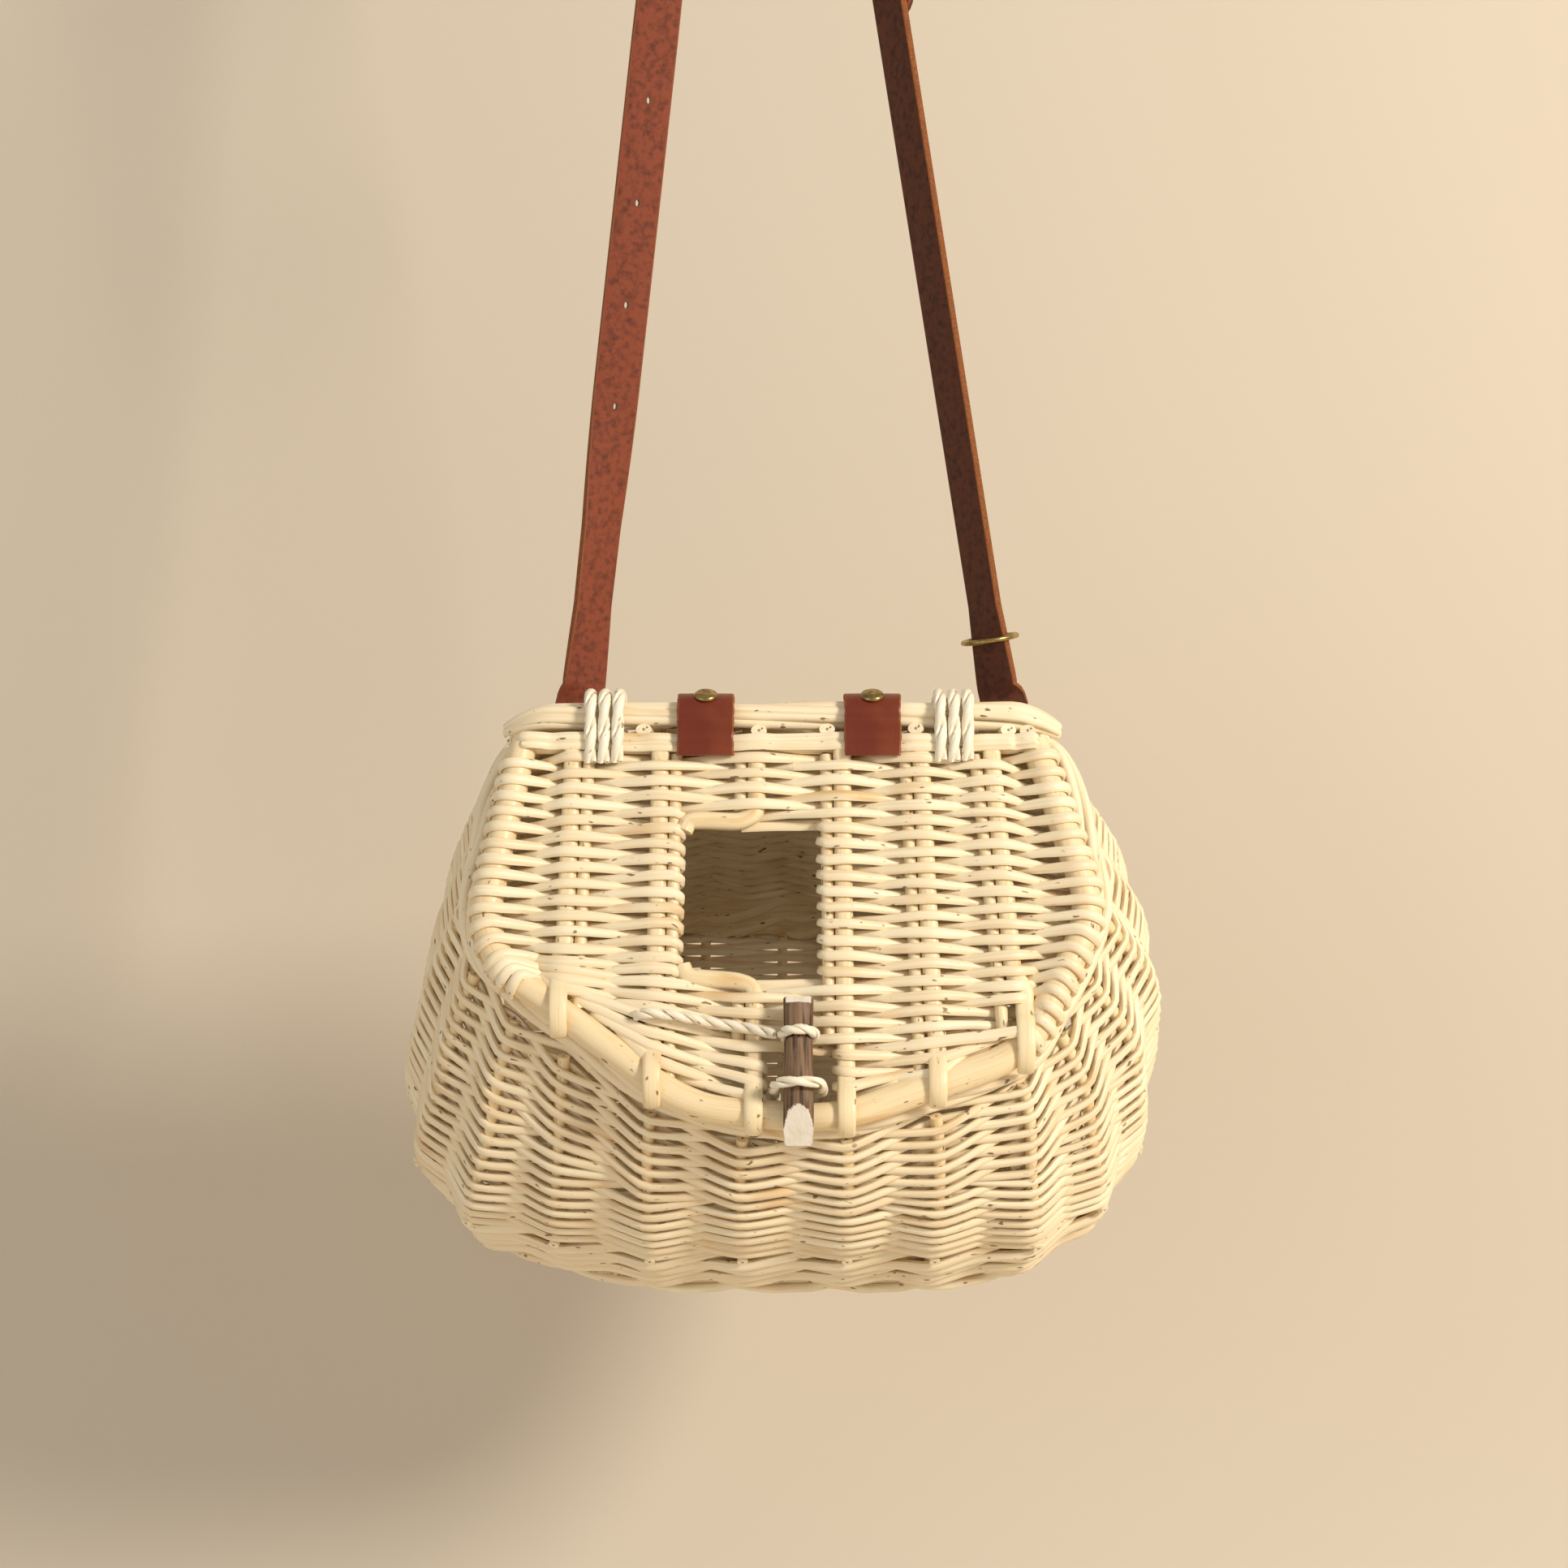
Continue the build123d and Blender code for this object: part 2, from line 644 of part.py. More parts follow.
def latch_peg():
    """A bark-covered peg: notched top, a groove for its tether, and a bevelled foot."""
    tip_y = PEG_TOP_Y - PEG_L
    stick = rod((PEG_X, PEG_TOP_Y, peg_z()), (PEG_X, tip_y, peg_z()), PEG_D, 16)
    ring = RegularPolygon(PEG_D, 16) - RegularPolygon(PEG_D / 2 - PEG_GROOVE_DEPTH, 16)
    groove = collar_place() * extrude(ring, TETHER_D / 2 + RUNNING, both=True)
    bevel = [(tip_y - 1, peg_z() - PEG_D / 4), (tip_y + PEG_BEVEL_L, peg_z() + PEG_D / 2)]
    bevel += [(tip_y + PEG_BEVEL_L, peg_z() + PEG_D), (tip_y - 1, peg_z() + PEG_D)]
    notch = [(PEG_TOP_Y + 1, peg_z() + PEG_D), (PEG_TOP_Y + 1, peg_z() + PEG_NOTCH)]
    notch += [(PEG_TOP_Y - PEG_NOTCH, peg_z() + PEG_D)]
    return stick - groove - Pos(PEG_X, 0, 0) * prism(bevel, 2 * PEG_D) - Pos(PEG_X, 0, 0) * prism(notch, 2 * PEG_D)


def collar_place():
    """The middle of the peg's groove, Z along the peg."""
    return Pos(PEG_X, PEG_GROOVE_Y, peg_z()) * Rot(90, 0, 0)


def tether_collar():
    """The tether's turn round the peg."""
    return collar_place() * ring_of(PEG_D / 2 - PEG_GROOVE_DEPTH + TETHER_D / 2 + RUNNING, TETHER_D, 16, 8)


def tether_points():
    """The tether's route over the lid, from beside a rib to the peg's collar."""
    collar_x = PEG_X - (PEG_D / 2 - PEG_GROOVE_DEPTH + TETHER_D) - 5 * WEAVE_GAP
    return [
        (-66.5, -146.0, LID_WEAVE_T / 2 + 3 * WEAVE_GAP),
        (-65.0, -146.0, 12.0),
        (-50.0, -146.5, 10.0),
        (-32.0, -149.5, 7.2),
        (-14.0, -152.5, 8.6),
        (collar_x, PEG_GROOVE_Y, peg_z()),
    ]


def arc_radii(points):
    """For each corner of a cord's route, the largest tangent arc that its runs allow."""
    radii = []
    for a, b, c in zip(points, points[1:], points[2:]):
        a, b, c = Vector(*a), Vector(*b), Vector(*c)
        turn = radians((b - a).get_angle(c - b))
        radii.append(0.45 * min((b - a).length, (c - b).length) / tan(turn / 2))
    return radii


def tether_cord():
    points = tether_points()
    radii = arc_radii(points)
    path = FilletPolyline(*points, radius=radii)
    print("tether arc radii", [round(r, 1) for r in radii], "length", round(path.length, 1))
    return sweep(Plane(origin=path @ 0, z_dir=path % 0) * RegularPolygon(TETHER_D / 2, ROD_SIDES), path=path)


def latch_loop():
    """A staple of twisted willow: up from the front border, over the peg and down again."""
    half = PEG_D / 2 + STAPLE_CLEAR + STAPLE_D / 2
    rim_y = border_front_y() + BORDER_D / 2 + STAPLE_D / 2 + WEAVE_GAP
    foot_z = border_z() - 2
    low_z = -HOOP_D / 2 - 1
    top_z = peg_z() + half
    points = [(-half, rim_y, foot_z), (-half, STAPLE_Y, low_z), (-half, STAPLE_Y, top_z - half * 0.6)]
    points.append((-half * 0.4, STAPLE_Y, top_z))
    points += [(x * -1, y, z) for x, y, z in reversed(points)]
    return Pos(PEG_X, 0, 0) * bent_rod(points, STAPLE_D)


def border_front_y():
    """The back edge of the front border's axis across the peg, in the lid's frame."""
    reach = PEG_D / 2 + STAPLE_CLEAR + STAPLE_D
    near = [p for p in border_points() if p.Y < -100]
    crossings = []
    for a, b in zip(near, near[1:]):
        for x in (PEG_X - reach, PEG_X + reach):
            if min(a.X, b.X) <= x <= max(a.X, b.X):
                crossings.append(a.Y + (b.Y - a.Y) * (x - a.X) / (b.X - a.X))
    return max(crossings)


# Shoulder strap


def leg_bottom(side):
    """Where a leg of the strap starts, level with the bar it turns round."""
    return Vector(STRAP_X[side] + BASKET_X, 0, -STRAP_DROP)


def bight_centre():
    return Vector(0, 0, -BIGHT_R)


def leg_top(side):
    """Where a leg's straight run meets the bight."""
    away = leg_bottom(side) - bight_centre()
    reach = BIGHT_R + STRAP_T / 2
    sign = -1 if side == 0 else 1
    angle = atan2(away.Z, away.X) + sign * acos(reach / hypot(away.X, away.Z))
    return bight_centre() + Vector(cos(angle), 0, sin(angle)) * reach


def leg_frame(side, along, twist):
    """A plane across the strap: X across its width, Y out of its grain side, Z up along the leg."""
    start, end = leg_bottom(side), leg_top(side)
    up = (end - start).normalized() if along > TURN_BACK else Vector(0, 0, 1)
    origin = start + Vector(0, 0, 1) * along if along <= TURN_BACK else start + up * along
    level = Vector(up.Z, 0, -up.X)
    turn = radians(twist) * (1 if side == 0 else -1)
    across = level * cos(turn) + Vector(0, 1, 0) * sin(turn)
    return Plane(origin=origin, x_dir=across, z_dir=up)


def twist_at(table, along):
    """The strap's twist at a distance along it, from a table of (distance, degrees)."""
    for (s0, t0), (s1, t1) in zip(table, table[1:]):
        if s0 <= along <= s1:
            return t0 + (t1 - t0) * (along - s0) / (s1 - s0)
    return table[0][1] if along < table[0][0] else table[-1][1]


def strap_run(side, table, start, end):
    """A run of strap along a leg, twisting as its table says, in steps of a few degrees at most."""
    marks = [start] + [along for along, _ in table if start < along < end] + [end]
    stops = [start]
    for a, b in zip(marks, marks[1:]):
        count = max(1, round(abs(twist_at(table, b) - twist_at(table, a)) / TWIST_STEP))
        stops += [a + (b - a) * (k + 1) / count for k in range(count)]
    frames = [leg_frame(side, along, twist_at(table, along)) for along in stops]
    sections = [(frame * Rectangle(STRAP_W, STRAP_T)).wire() for frame in frames]
    return Solid.make_loft(sections, ruled=True)


def turned_end(bar_d, tail):
    """The profile of leather turned round a bar at the origin: its run lies at -X of it, its tail at +X."""
    inner = bar_d / 2 + RUNNING
    outer = inner + STRAP_T
    neck = Pos(0, outer + 2) * Rectangle(2 * STRAP_T, 1)
    eye = make_hull(Circle(outer).edges() + neck.edges())
    layers = Pos(0, (outer + tail) / 2) * Rectangle(2 * STRAP_T, tail - outer)
    return eye + layers - Circle(inner)


def basket_turn(side):
    """The strap's turned end round its bar on the basket."""
    profile = Pos(STRAP_T / 2, 0) * turned_end(STRAP_BAR_D, TURN_BACK)
    turned = extrude(Plane.YZ * profile, STRAP_W / 2, both=True)
    return Pos(*leg_bottom(side)) * turned


def turn_rivet_place(side):
    """The rivet through a turned end: its head in front, on the run."""
    x, _, z = tuple(leg_bottom(side))
    return Pos(x, -STRAP_T / 2, z + TURN_RIVET) * Rot(90, 0, 0)


def leg_length(side):
    return (leg_top(side) - leg_bottom(side)).length


def bight_angle(side):
    """The angle of a leg's tangent point round the bight."""
    out = leg_top(side) - bight_centre()
    return degrees(atan2(out.Z, out.X))


def bight_length():
    return radians(bight_angle(0) - bight_angle(1)) * (BIGHT_R + STRAP_T / 2)


def bight():
    """The half turn over the top."""
    outer = Circle(BIGHT_R + STRAP_T) - Circle(BIGHT_R)
    far = 4 * BIGHT_R
    ends = [bight_angle(1), 90, bight_angle(0)]
    wedge = [(0, 0)] + [(far * cos(radians(a)), far * sin(radians(a))) for a in ends]
    sector = outer & make_face(Polyline(*wedge, close=True))
    place = Plane(origin=bight_centre(), x_dir=(1, 0, 0), z_dir=(0, -1, 0))
    return extrude(place * sector, STRAP_W / 2, both=True)


def tongue_along():
    """Where the tongue's hole is, up the right leg."""
    down = FIRST_HOLE + BUCKLE_HOLE * HOLE_PITCH - leg_length(0) - bight_length()
    return leg_length(1) - down


def buckle_along():
    """Where the buckle's heel bar is, up the right leg."""
    return tongue_along() - BUCKLE_L / 2


def buckle_plane():
    """X across the strap, Y up it, Z out of its grain side, origin at the heel bar."""
    frame = leg_frame(1, buckle_along(), RIGHT_TWIST[-1][1])
    return Plane(origin=frame.origin, x_dir=frame.x_dir * -1, z_dir=frame.z_dir.cross(frame.x_dir))


def heel_z():
    return -STRAP_T / 2


def top_bar_z():
    return STRAP_T / 2 + BUCKLE_WIRE_D / 2 + WEAVE_GAP


def over_heel_z():
    """The strap's middle where it crosses the turned end on the heel bar."""
    return heel_z() + BUCKLE_WIRE_D / 2 + RUNNING + STRAP_T + WEAVE_GAP + STRAP_T / 2


def buckled_run():
    """The strap through the buckle: in behind the top bar, out over the heel bar, and its free tail."""
    rest = STRAP_T + SMALL_RIVET_H + SEAT
    tail_end = BUCKLE_L / 2 - TAIL_L
    line = [(BUCKLE_L + 12, 0), (BUCKLE_L, 0), (0, over_heel_z()), (-12, rest), (-FOLD_L, rest)]
    line.append((tail_end, STRAP_T + SEAT))
    half = STRAP_T / 2
    profile = [(y, z + half) for y, z in line] + [(y, z - half) for y, z in reversed(line)]
    run = prism(profile, STRAP_W)
    tip = run.edges().filter_by(Axis.Z).sort_by(Axis.Y)[:2]
    return buckle_plane().location * fillet(tip, STRAP_W / 2 - 2)


def hole_place(length):
    """Where the strap is at a length along it from its left end, facing out of its grain side."""
    if length < leg_length(0):
        frame = leg_frame(0, length, twist_at(LEFT_TWIST, length))
        return Plane(origin=frame.origin, x_dir=frame.x_dir, z_dir=frame.y_dir)
    over = length - leg_length(0)
    if over < bight_length():
        angle = radians(bight_angle(0)) - over / (BIGHT_R + STRAP_T / 2)
        out = Vector(cos(angle), 0, sin(angle))
        return Plane(origin=bight_centre() + out * (BIGHT_R + STRAP_T / 2), x_dir=(0, 1, 0), z_dir=out)
    along = leg_length(1) - (over - bight_length())
    frame = leg_frame(1, along, twist_at(right_table(), along))
    return Plane(origin=frame.origin, x_dir=frame.x_dir, z_dir=frame.y_dir)


def right_table():
    """The right leg's twist, up to the bight."""
    top = leg_length(1)
    return (*RIGHT_TWIST, (top - TOP_TWIST_L, RIGHT_TWIST[-1][1]), (top, 90))


def hole_cut(length):
    return hole_place(length).location * extrude(RegularPolygon(HOLE_D / 2, ROD_SIDES), 2 * STRAP_T, both=True)


def strap_long():
    """The holed strap: up from the left, over the bight and down through the buckle."""
    buckle_top = buckle_along() + BUCKLE_L + 12
    strap = basket_turn(0)
    strap += strap_run(0, LEFT_TWIST, TURN_BACK, leg_length(0))
    strap += bight()
    strap += strap_run(1, right_table(), buckle_top, leg_length(1))
    strap += buckled_run()
    for i in range(BUCKLE_HOLE + 2):
        if i != BUCKLE_HOLE + 1:
            strap -= hole_cut(FIRST_HOLE + i * HOLE_PITCH)
    hole = extrude(RegularPolygon(HOLE_D / 2, ROD_SIDES), 2 * STRAP_T, both=True)
    strap -= buckle_plane().location * Pos(0, BUCKLE_L / 2 - HOLE_PITCH, 2.5 * STRAP_T) * hole
    strap -= buckle_plane().location * Pos(0, 0, heel_z()) * tongue_shank(TONGUE_D + 4 * RUNNING)
    return strap - rivet_hole(turn_rivet_place(0))


def rivet_hole(place):
    return place * extrude(RegularPolygon(SMALL_SHANK_D / 2 + RUNNING / 2, ROD_SIDES), 3 * STRAP_T, both=True)


def strap_short():
    """The buckle's strap: up from the right and turned round the heel bar."""
    strap = basket_turn(1)
    strap += strap_run(1, RIGHT_TWIST, TURN_BACK, buckle_along() - FOLD_L)
    profile = Pos(0, heel_z()) * Rot(0, 0, 90) * turned_end(BUCKLE_WIRE_D, FOLD_L)
    fold = extrude(Plane.YZ * profile, STRAP_W / 2, both=True)
    slot = box_between((-TONGUE_D / 2 - 0.5, TONGUE_D / 2 + 0.5), (-9, 9), (-12, 12))
    strap += buckle_plane().location * (fold - slot)
    for along in FOLD_RIVETS:
        strap -= rivet_hole(fold_rivet_place(along))
    return strap - rivet_hole(turn_rivet_place(1))


def fold_rivet_place(along):
    return buckle_plane().location * Pos(0, -along, STRAP_T / 2)


def strap_rivets():
    """One rivet at each end on the basket, two at the buckle's fold."""
    both = rivet(SMALL_RIVET_D, SMALL_RIVET_H, SMALL_SHANK_D, 2 * STRAP_T, True)
    places = [turn_rivet_place(0), turn_rivet_place(1), *(fold_rivet_place(a) for a in FOLD_RIVETS)]
    return [place * both for place in places]


def buckle_tilt():
    """The frame leans from its heel bar out to its top bar."""
    return degrees(atan2(top_bar_z() - heel_z(), BUCKLE_L))


def buckle_frame():
    length = BUCKLE_L / cos(radians(buckle_tilt()))
    half = BUCKLE_W / 2 - BUCKLE_WIRE_D / 2
    cut = BUCKLE_R * 0.6
    corners = [(0, 0), (half - cut, 0), (half, cut), (half, length - cut), (half - cut, length)]
    corners += [(-x, y) for x, y in reversed(corners[1:])] + [(0, 0)]
    wire = bent_rod(corners, BUCKLE_WIRE_D)
    return buckle_plane().location * Pos(0, 0, heel_z()) * Rot(buckle_tilt(), 0, 0) * wire


def buckle_tongue():
    """A tongue looped round the heel bar and resting on the top bar."""
    eye_r = BUCKLE_WIRE_D / 2 + RUNNING + TONGUE_D / 2
    eye = Rot(0, 90, 0) * ring_of(eye_r, TONGUE_D, 14, 6)
    return buckle_plane().location * Pos(0, 0, heel_z()) * (eye + tongue_shank(TONGUE_D))


def tongue_shank(diameter):
    """The tongue's straight part, from its eye to past the top bar."""
    eye_r = BUCKLE_WIRE_D / 2 + RUNNING + TONGUE_D / 2
    rise = top_bar_z() - heel_z() + (BUCKLE_WIRE_D + TONGUE_D) / 2 + RUNNING
    return rod((0, eye_r * 0.9, eye_r * 0.6), (0, BUCKLE_L + 2.5, rise + 1.0), diameter)


def keeper_ring():
    """A brass ring that slides along the right leg."""
    frame = leg_frame(1, RING_UP, 0)
    return frame.location * ring_of((RING_INNER_D + RING_WIRE_D) / 2, RING_WIRE_D)


# The nodes


def write_basket():
    place = hang()
    levels = stake_levels()
    pairs = [(levels[i], levels[(i + 1) % len(levels)]) for i in range(len(levels))]
    back = len(BACK_STAKES_X) - 1
    front = slice(back + SIDE_STAKES + 1, back + SIDE_STAKES + len(FRONT_STAKES_X))
    right, left = slice(back, front.start), slice(front.stop, None)
    holes = leg_holes()
    save("side_stakes", side_stakes(levels), place)
    save("foot_border", foot_border(pairs), place)
    save("upsett_wale", upsett_wale(pairs), place)
    save("siding_back", [s - holes for s in siding(pairs[:back])], place)
    save("siding_right", [s - holes for s in siding(pairs[right])], place)
    save("siding_front", siding(pairs[front]), place)
    save("siding_left", [s - holes for s in siding(pairs[left])], place)
    save("top_border", top_border(), place * lid_place())
    save("back_border", [Pos(0, ROLL_Y, ROLL_Z) * Rot(0, 90, 0) * Cylinder(ROLL_D / 2, ROLL_L)], place)
    plate = base_plate(levels)
    save("base_sticks", base_sticks(plate), place)
    save("base_weave", base_weave(plate), place)
    save("strap_loops", [strap_loop(x) for x in STRAP_X], place)
    save("latch_loop", [latch_loop()], place * lid_place())


def write_lid():
    place = hang() * lid_place()
    hoop = lid_hoop()
    frame = fish_hole_frame(hoop)
    save("lid_hoop", [hoop], place)
    save("lid_rear_rail", [lid_rear_rail(hoop)], place)
    save("lid_ribs", lid_ribs(hoop), place)
    save("lid_rib_liners", lid_rib_liners(hoop), place)
    save("fish_hole_frame", frame, place)
    save("lid_weave", lid_weave(hoop, frame), place)
    save("willow_hinge_left", willow_hinge(LOOPS_X[0]), place)
    save("willow_hinge_right", willow_hinge(LOOPS_X[1]), place)
    save("leather_hinge_left", [leather_hinge(TABS_X[0])], place)
    save("leather_hinge_right", [leather_hinge(TABS_X[1])], place)
    save("hinge_rivets", [tab_rivet(x) for x in TABS_X], place)
    save("latch_peg", [latch_peg()], place)
    save("tether_collar", [tether_collar()], place)
    save("tether_cord", [tether_cord()], place)


def write_strap():
    save("strap_long", [strap_long()])
    save("strap_short", [strap_short()])
    save("strap_rivets", strap_rivets())
    save("buckle_frame", [buckle_frame()])
    save("buckle_tongue", [buckle_tongue()])
    save("keeper_ring", [keeper_ring()])


os.makedirs("parts", exist_ok=True)
write_basket()
write_lid()
write_strap()
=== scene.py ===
# %% [markdown]
# A wicker fishing creel, hung by its leather strap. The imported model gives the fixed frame, in metres. Each woven or
# leather piece is then made as a surface worked out with numpy, on the plain solid that stands for it.

# %% Load the frame
import bpy
import math
import numpy as np
from mathutils import Matrix, Vector


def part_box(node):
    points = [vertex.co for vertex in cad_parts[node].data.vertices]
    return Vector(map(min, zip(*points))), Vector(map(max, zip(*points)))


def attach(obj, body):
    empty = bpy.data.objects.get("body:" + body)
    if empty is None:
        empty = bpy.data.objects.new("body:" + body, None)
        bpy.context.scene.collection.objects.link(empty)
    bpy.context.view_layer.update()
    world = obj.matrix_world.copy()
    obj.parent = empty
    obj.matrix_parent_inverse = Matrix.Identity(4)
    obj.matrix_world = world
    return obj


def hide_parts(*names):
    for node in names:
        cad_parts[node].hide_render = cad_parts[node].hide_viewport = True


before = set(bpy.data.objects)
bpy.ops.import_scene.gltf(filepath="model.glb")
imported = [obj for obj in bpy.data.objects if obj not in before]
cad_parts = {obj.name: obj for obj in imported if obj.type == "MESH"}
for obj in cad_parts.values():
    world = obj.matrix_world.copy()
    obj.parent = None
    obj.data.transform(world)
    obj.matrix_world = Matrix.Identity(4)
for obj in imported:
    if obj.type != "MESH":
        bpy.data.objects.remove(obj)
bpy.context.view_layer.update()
rng = np.random.default_rng(7)

# %% [markdown]
# The basket was designed upright, in millimetres, with X to the right, Y to the back and Z up, and its lid flat, with
# its hinge at the origin. Two turns take both into the frame: the lid's slope, and the lean at which the creel hangs.
# Working in the maker's frame keeps the numbers readable, since a row of weave is then level.

# %% Placing
HANG_TILT = math.radians(51.5)
RIM_SLOPE = math.radians(15.0)
STRAP_DROP = 545.0
STRAP_T = 3.5
BASKET_X = 8.0
ROLL_Y, ROLL_Z = 96.0, 196.0
BAR_Y, BAR_Z = 106.5, 166.0


def turn_x(points, angle):
    """Points turned about X: y' = y cos a - z sin a, z' = y sin a + z cos a."""
    p = np.asarray(points, float)
    c, s = math.cos(angle), math.sin(angle)
    return np.stack([p[..., 0], p[..., 1] * c - p[..., 2] * s, p[..., 1] * s + p[..., 2] * c], -1)


def from_lid(points):
    """The lid's frame to the basket's."""
    return turn_x(points, RIM_SLOPE) + (0, ROLL_Y, ROLL_Z)


def to_lid(points):
    """The basket's frame to the lid's."""
    return turn_x(np.asarray(points, float) - (0, ROLL_Y, ROLL_Z), -RIM_SLOPE)


def hung(points):
    """The basket's frame to the part's, still in millimetres."""
    shifted = np.asarray(points, float) - (0, BAR_Y, BAR_Z)
    return turn_x(shifted, HANG_TILT) + (BASKET_X, STRAP_T / 2, -STRAP_DROP)


def hung_lid(points):
    return hung(from_lid(points))


def as_is(points):
    return np.asarray(points, float)


low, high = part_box("back_border")
print("roll is off by, mm", ((np.array(low) + high) * 500 - hung([(0, ROLL_Y, ROLL_Z)])[0]).round(2))

# %% [markdown]
# The photograph looks down on the lid at 57 degrees to the basket's own level, from 1.5 m, through a lens of about
# 68 mm on a 36 mm frame. Since the hung basket leans by most of that, the camera itself is almost level.

# %% Camera
VIEW = math.radians(57.0)
VIEW_D, VIEW_UP = 1500.0, 155.3
FOCAL_PX, FRAME_PX = 3630.0, 1932.0

up = np.array([0, math.sin(VIEW), math.cos(VIEW)])
back = np.array([0, -math.cos(VIEW), math.sin(VIEW)])
eye = hung([up * VIEW_UP + back * VIEW_D + (0.8, 0, 0)])[0] / 1000
axes = turn_x([(1, 0, 0), up, back], HANG_TILT)
camera = bpy.data.objects.new("camera", bpy.data.cameras.new("camera"))
camera.data.sensor_width = 36.0
camera.data.lens = FOCAL_PX / FRAME_PX * 36.0
camera.matrix_world = Matrix.Translation(Vector(eye)) @ Matrix(axes.T.tolist()).to_4x4()
bpy.context.collection.objects.link(camera)
bpy.context.scene.camera = camera
print("camera at", eye.round(3))

# %% [markdown]
# A path is a list of points, and may carry more columns, such as a rod's width at each point. Most of a basket's lines
# are straight runs with rounded bends, and weavers run straight from one stake to the next and bend only round it.

# %% Paths


def unit(v):
    return v / np.maximum(np.linalg.norm(v, axis=-1, keepdims=True), 1e-9)


def even(curve, step, closed=False):
    """A path's points again, about a step apart, measured on its first three columns."""
    line = np.vstack([curve, curve[:1]]) if closed else np.asarray(curve, float)
    run = np.concatenate([[0], np.cumsum(np.linalg.norm(np.diff(line[:, :3], axis=0), axis=1))])
    count = max(3, int(round(run[-1] / step)))
    at = np.linspace(0, run[-1], count, endpoint=False) if closed else np.linspace(0, run[-1], count + 1)
    return np.stack([np.interp(at, run, line[:, k]) for k in range(line.shape[1])], -1)


def through(points, step=3.0, closed=False):
    """A smooth path through points: the Catmull-Rom curve b + t(c - a)/2 + t^2(2a - 5b + 4c - d)/2
    + t^3(3b - 3c + d - a)/2 between b and c, spaced evenly."""
    p = np.asarray(points, float)
    p = np.vstack([p[-1:], p, p[:2]]) if closed else np.vstack([2 * p[0] - p[1], p, 2 * p[-1] - p[-2]])
    t = np.linspace(0, 1, 16, endpoint=False)[:, None, None]
    a, b, c, d = p[:-3], p[1:-2], p[2:-1], p[3:]
    curve = b + 0.5 * t * (c - a + t * (2 * a - 5 * b + 4 * c - d + t * (3 * (b - c) + d - a)))
    curve = np.swapaxes(curve, 0, 1).reshape(-1, p.shape[1])
    return even(curve if closed else np.vstack([curve, p[-2:-1]]), step, closed)


def kinked(points, step=1.6, soft=2):
    """Straight runs whose corners are eased: evenly spaced points, each the mean of its neighbours."""
    line = even(np.asarray(points, float), step)
    padded = np.vstack([np.repeat(line[:1], soft, 0), line, np.repeat(line[-1:], soft, 0)])
    eased = sum(padded[k : k + len(line)] for k in range(2 * soft + 1)) / (2 * soft + 1)
    eased[0], eased[-1] = line[0], line[-1]
    return eased


def bent_outline(corners, radii, closed):
    """Straight runs joined by tangent arcs, in the plane: where the line turns by a, an arc of radius r starts
    r tan(a / 2) before the corner."""
    p = np.asarray(corners, float)
    n = len(p)
    out = [] if closed else [p[:1]]
    for r, i in zip(radii, range(n) if closed else range(1, n - 1)):
        before, after = unit(p[i] - p[i - 1]), unit(p[(i + 1) % n] - p[i])
        turn = math.acos(float(np.clip(before @ after, -1, 1)))
        side = np.sign(before[0] * after[1] - before[1] * after[0])
        start = p[i] - before * r * math.tan(turn / 2)
        centre = start + np.array([-before[1], before[0]]) * side * r
        angle = math.atan2(*(start - centre)[::-1]) + side * np.linspace(0, turn, 24)
        out.append(centre + r * np.stack([np.cos(angle), np.sin(angle)], -1))
    return np.vstack(out if closed else out + [p[-1:]])


# %% [markdown]
# Everything woven is a rod of some length, so one function makes them all: a section carried along a path. Each point
# of it also stores how far it is along the rod and where it is across it, so that the willow's grain can run lengthwise
# in the material, however the rod bends, and a cut end can show its pith.

# %% Rods and straps
ROUND = np.linspace(0, 2 * np.pi, 8, endpoint=False)
ROUND = np.stack([np.cos(ROUND), np.sin(ROUND)], -1)


def circle(sides, squareness=1.0):
    """A round section, or a squarer one: each of cos a and sin a is raised to a power below 1, keeping its sign."""
    a = np.linspace(0, 2 * np.pi, sides, endpoint=False)
    round_one = np.stack([np.cos(a), np.sin(a)], -1)
    return np.sign(round_one) * np.abs(round_one) ** squareness


def column(value, count):
    """A number, or one number per point, as one per point."""
    return np.broadcast_to(np.asarray(value, float), (count,)).reshape(-1, 1)


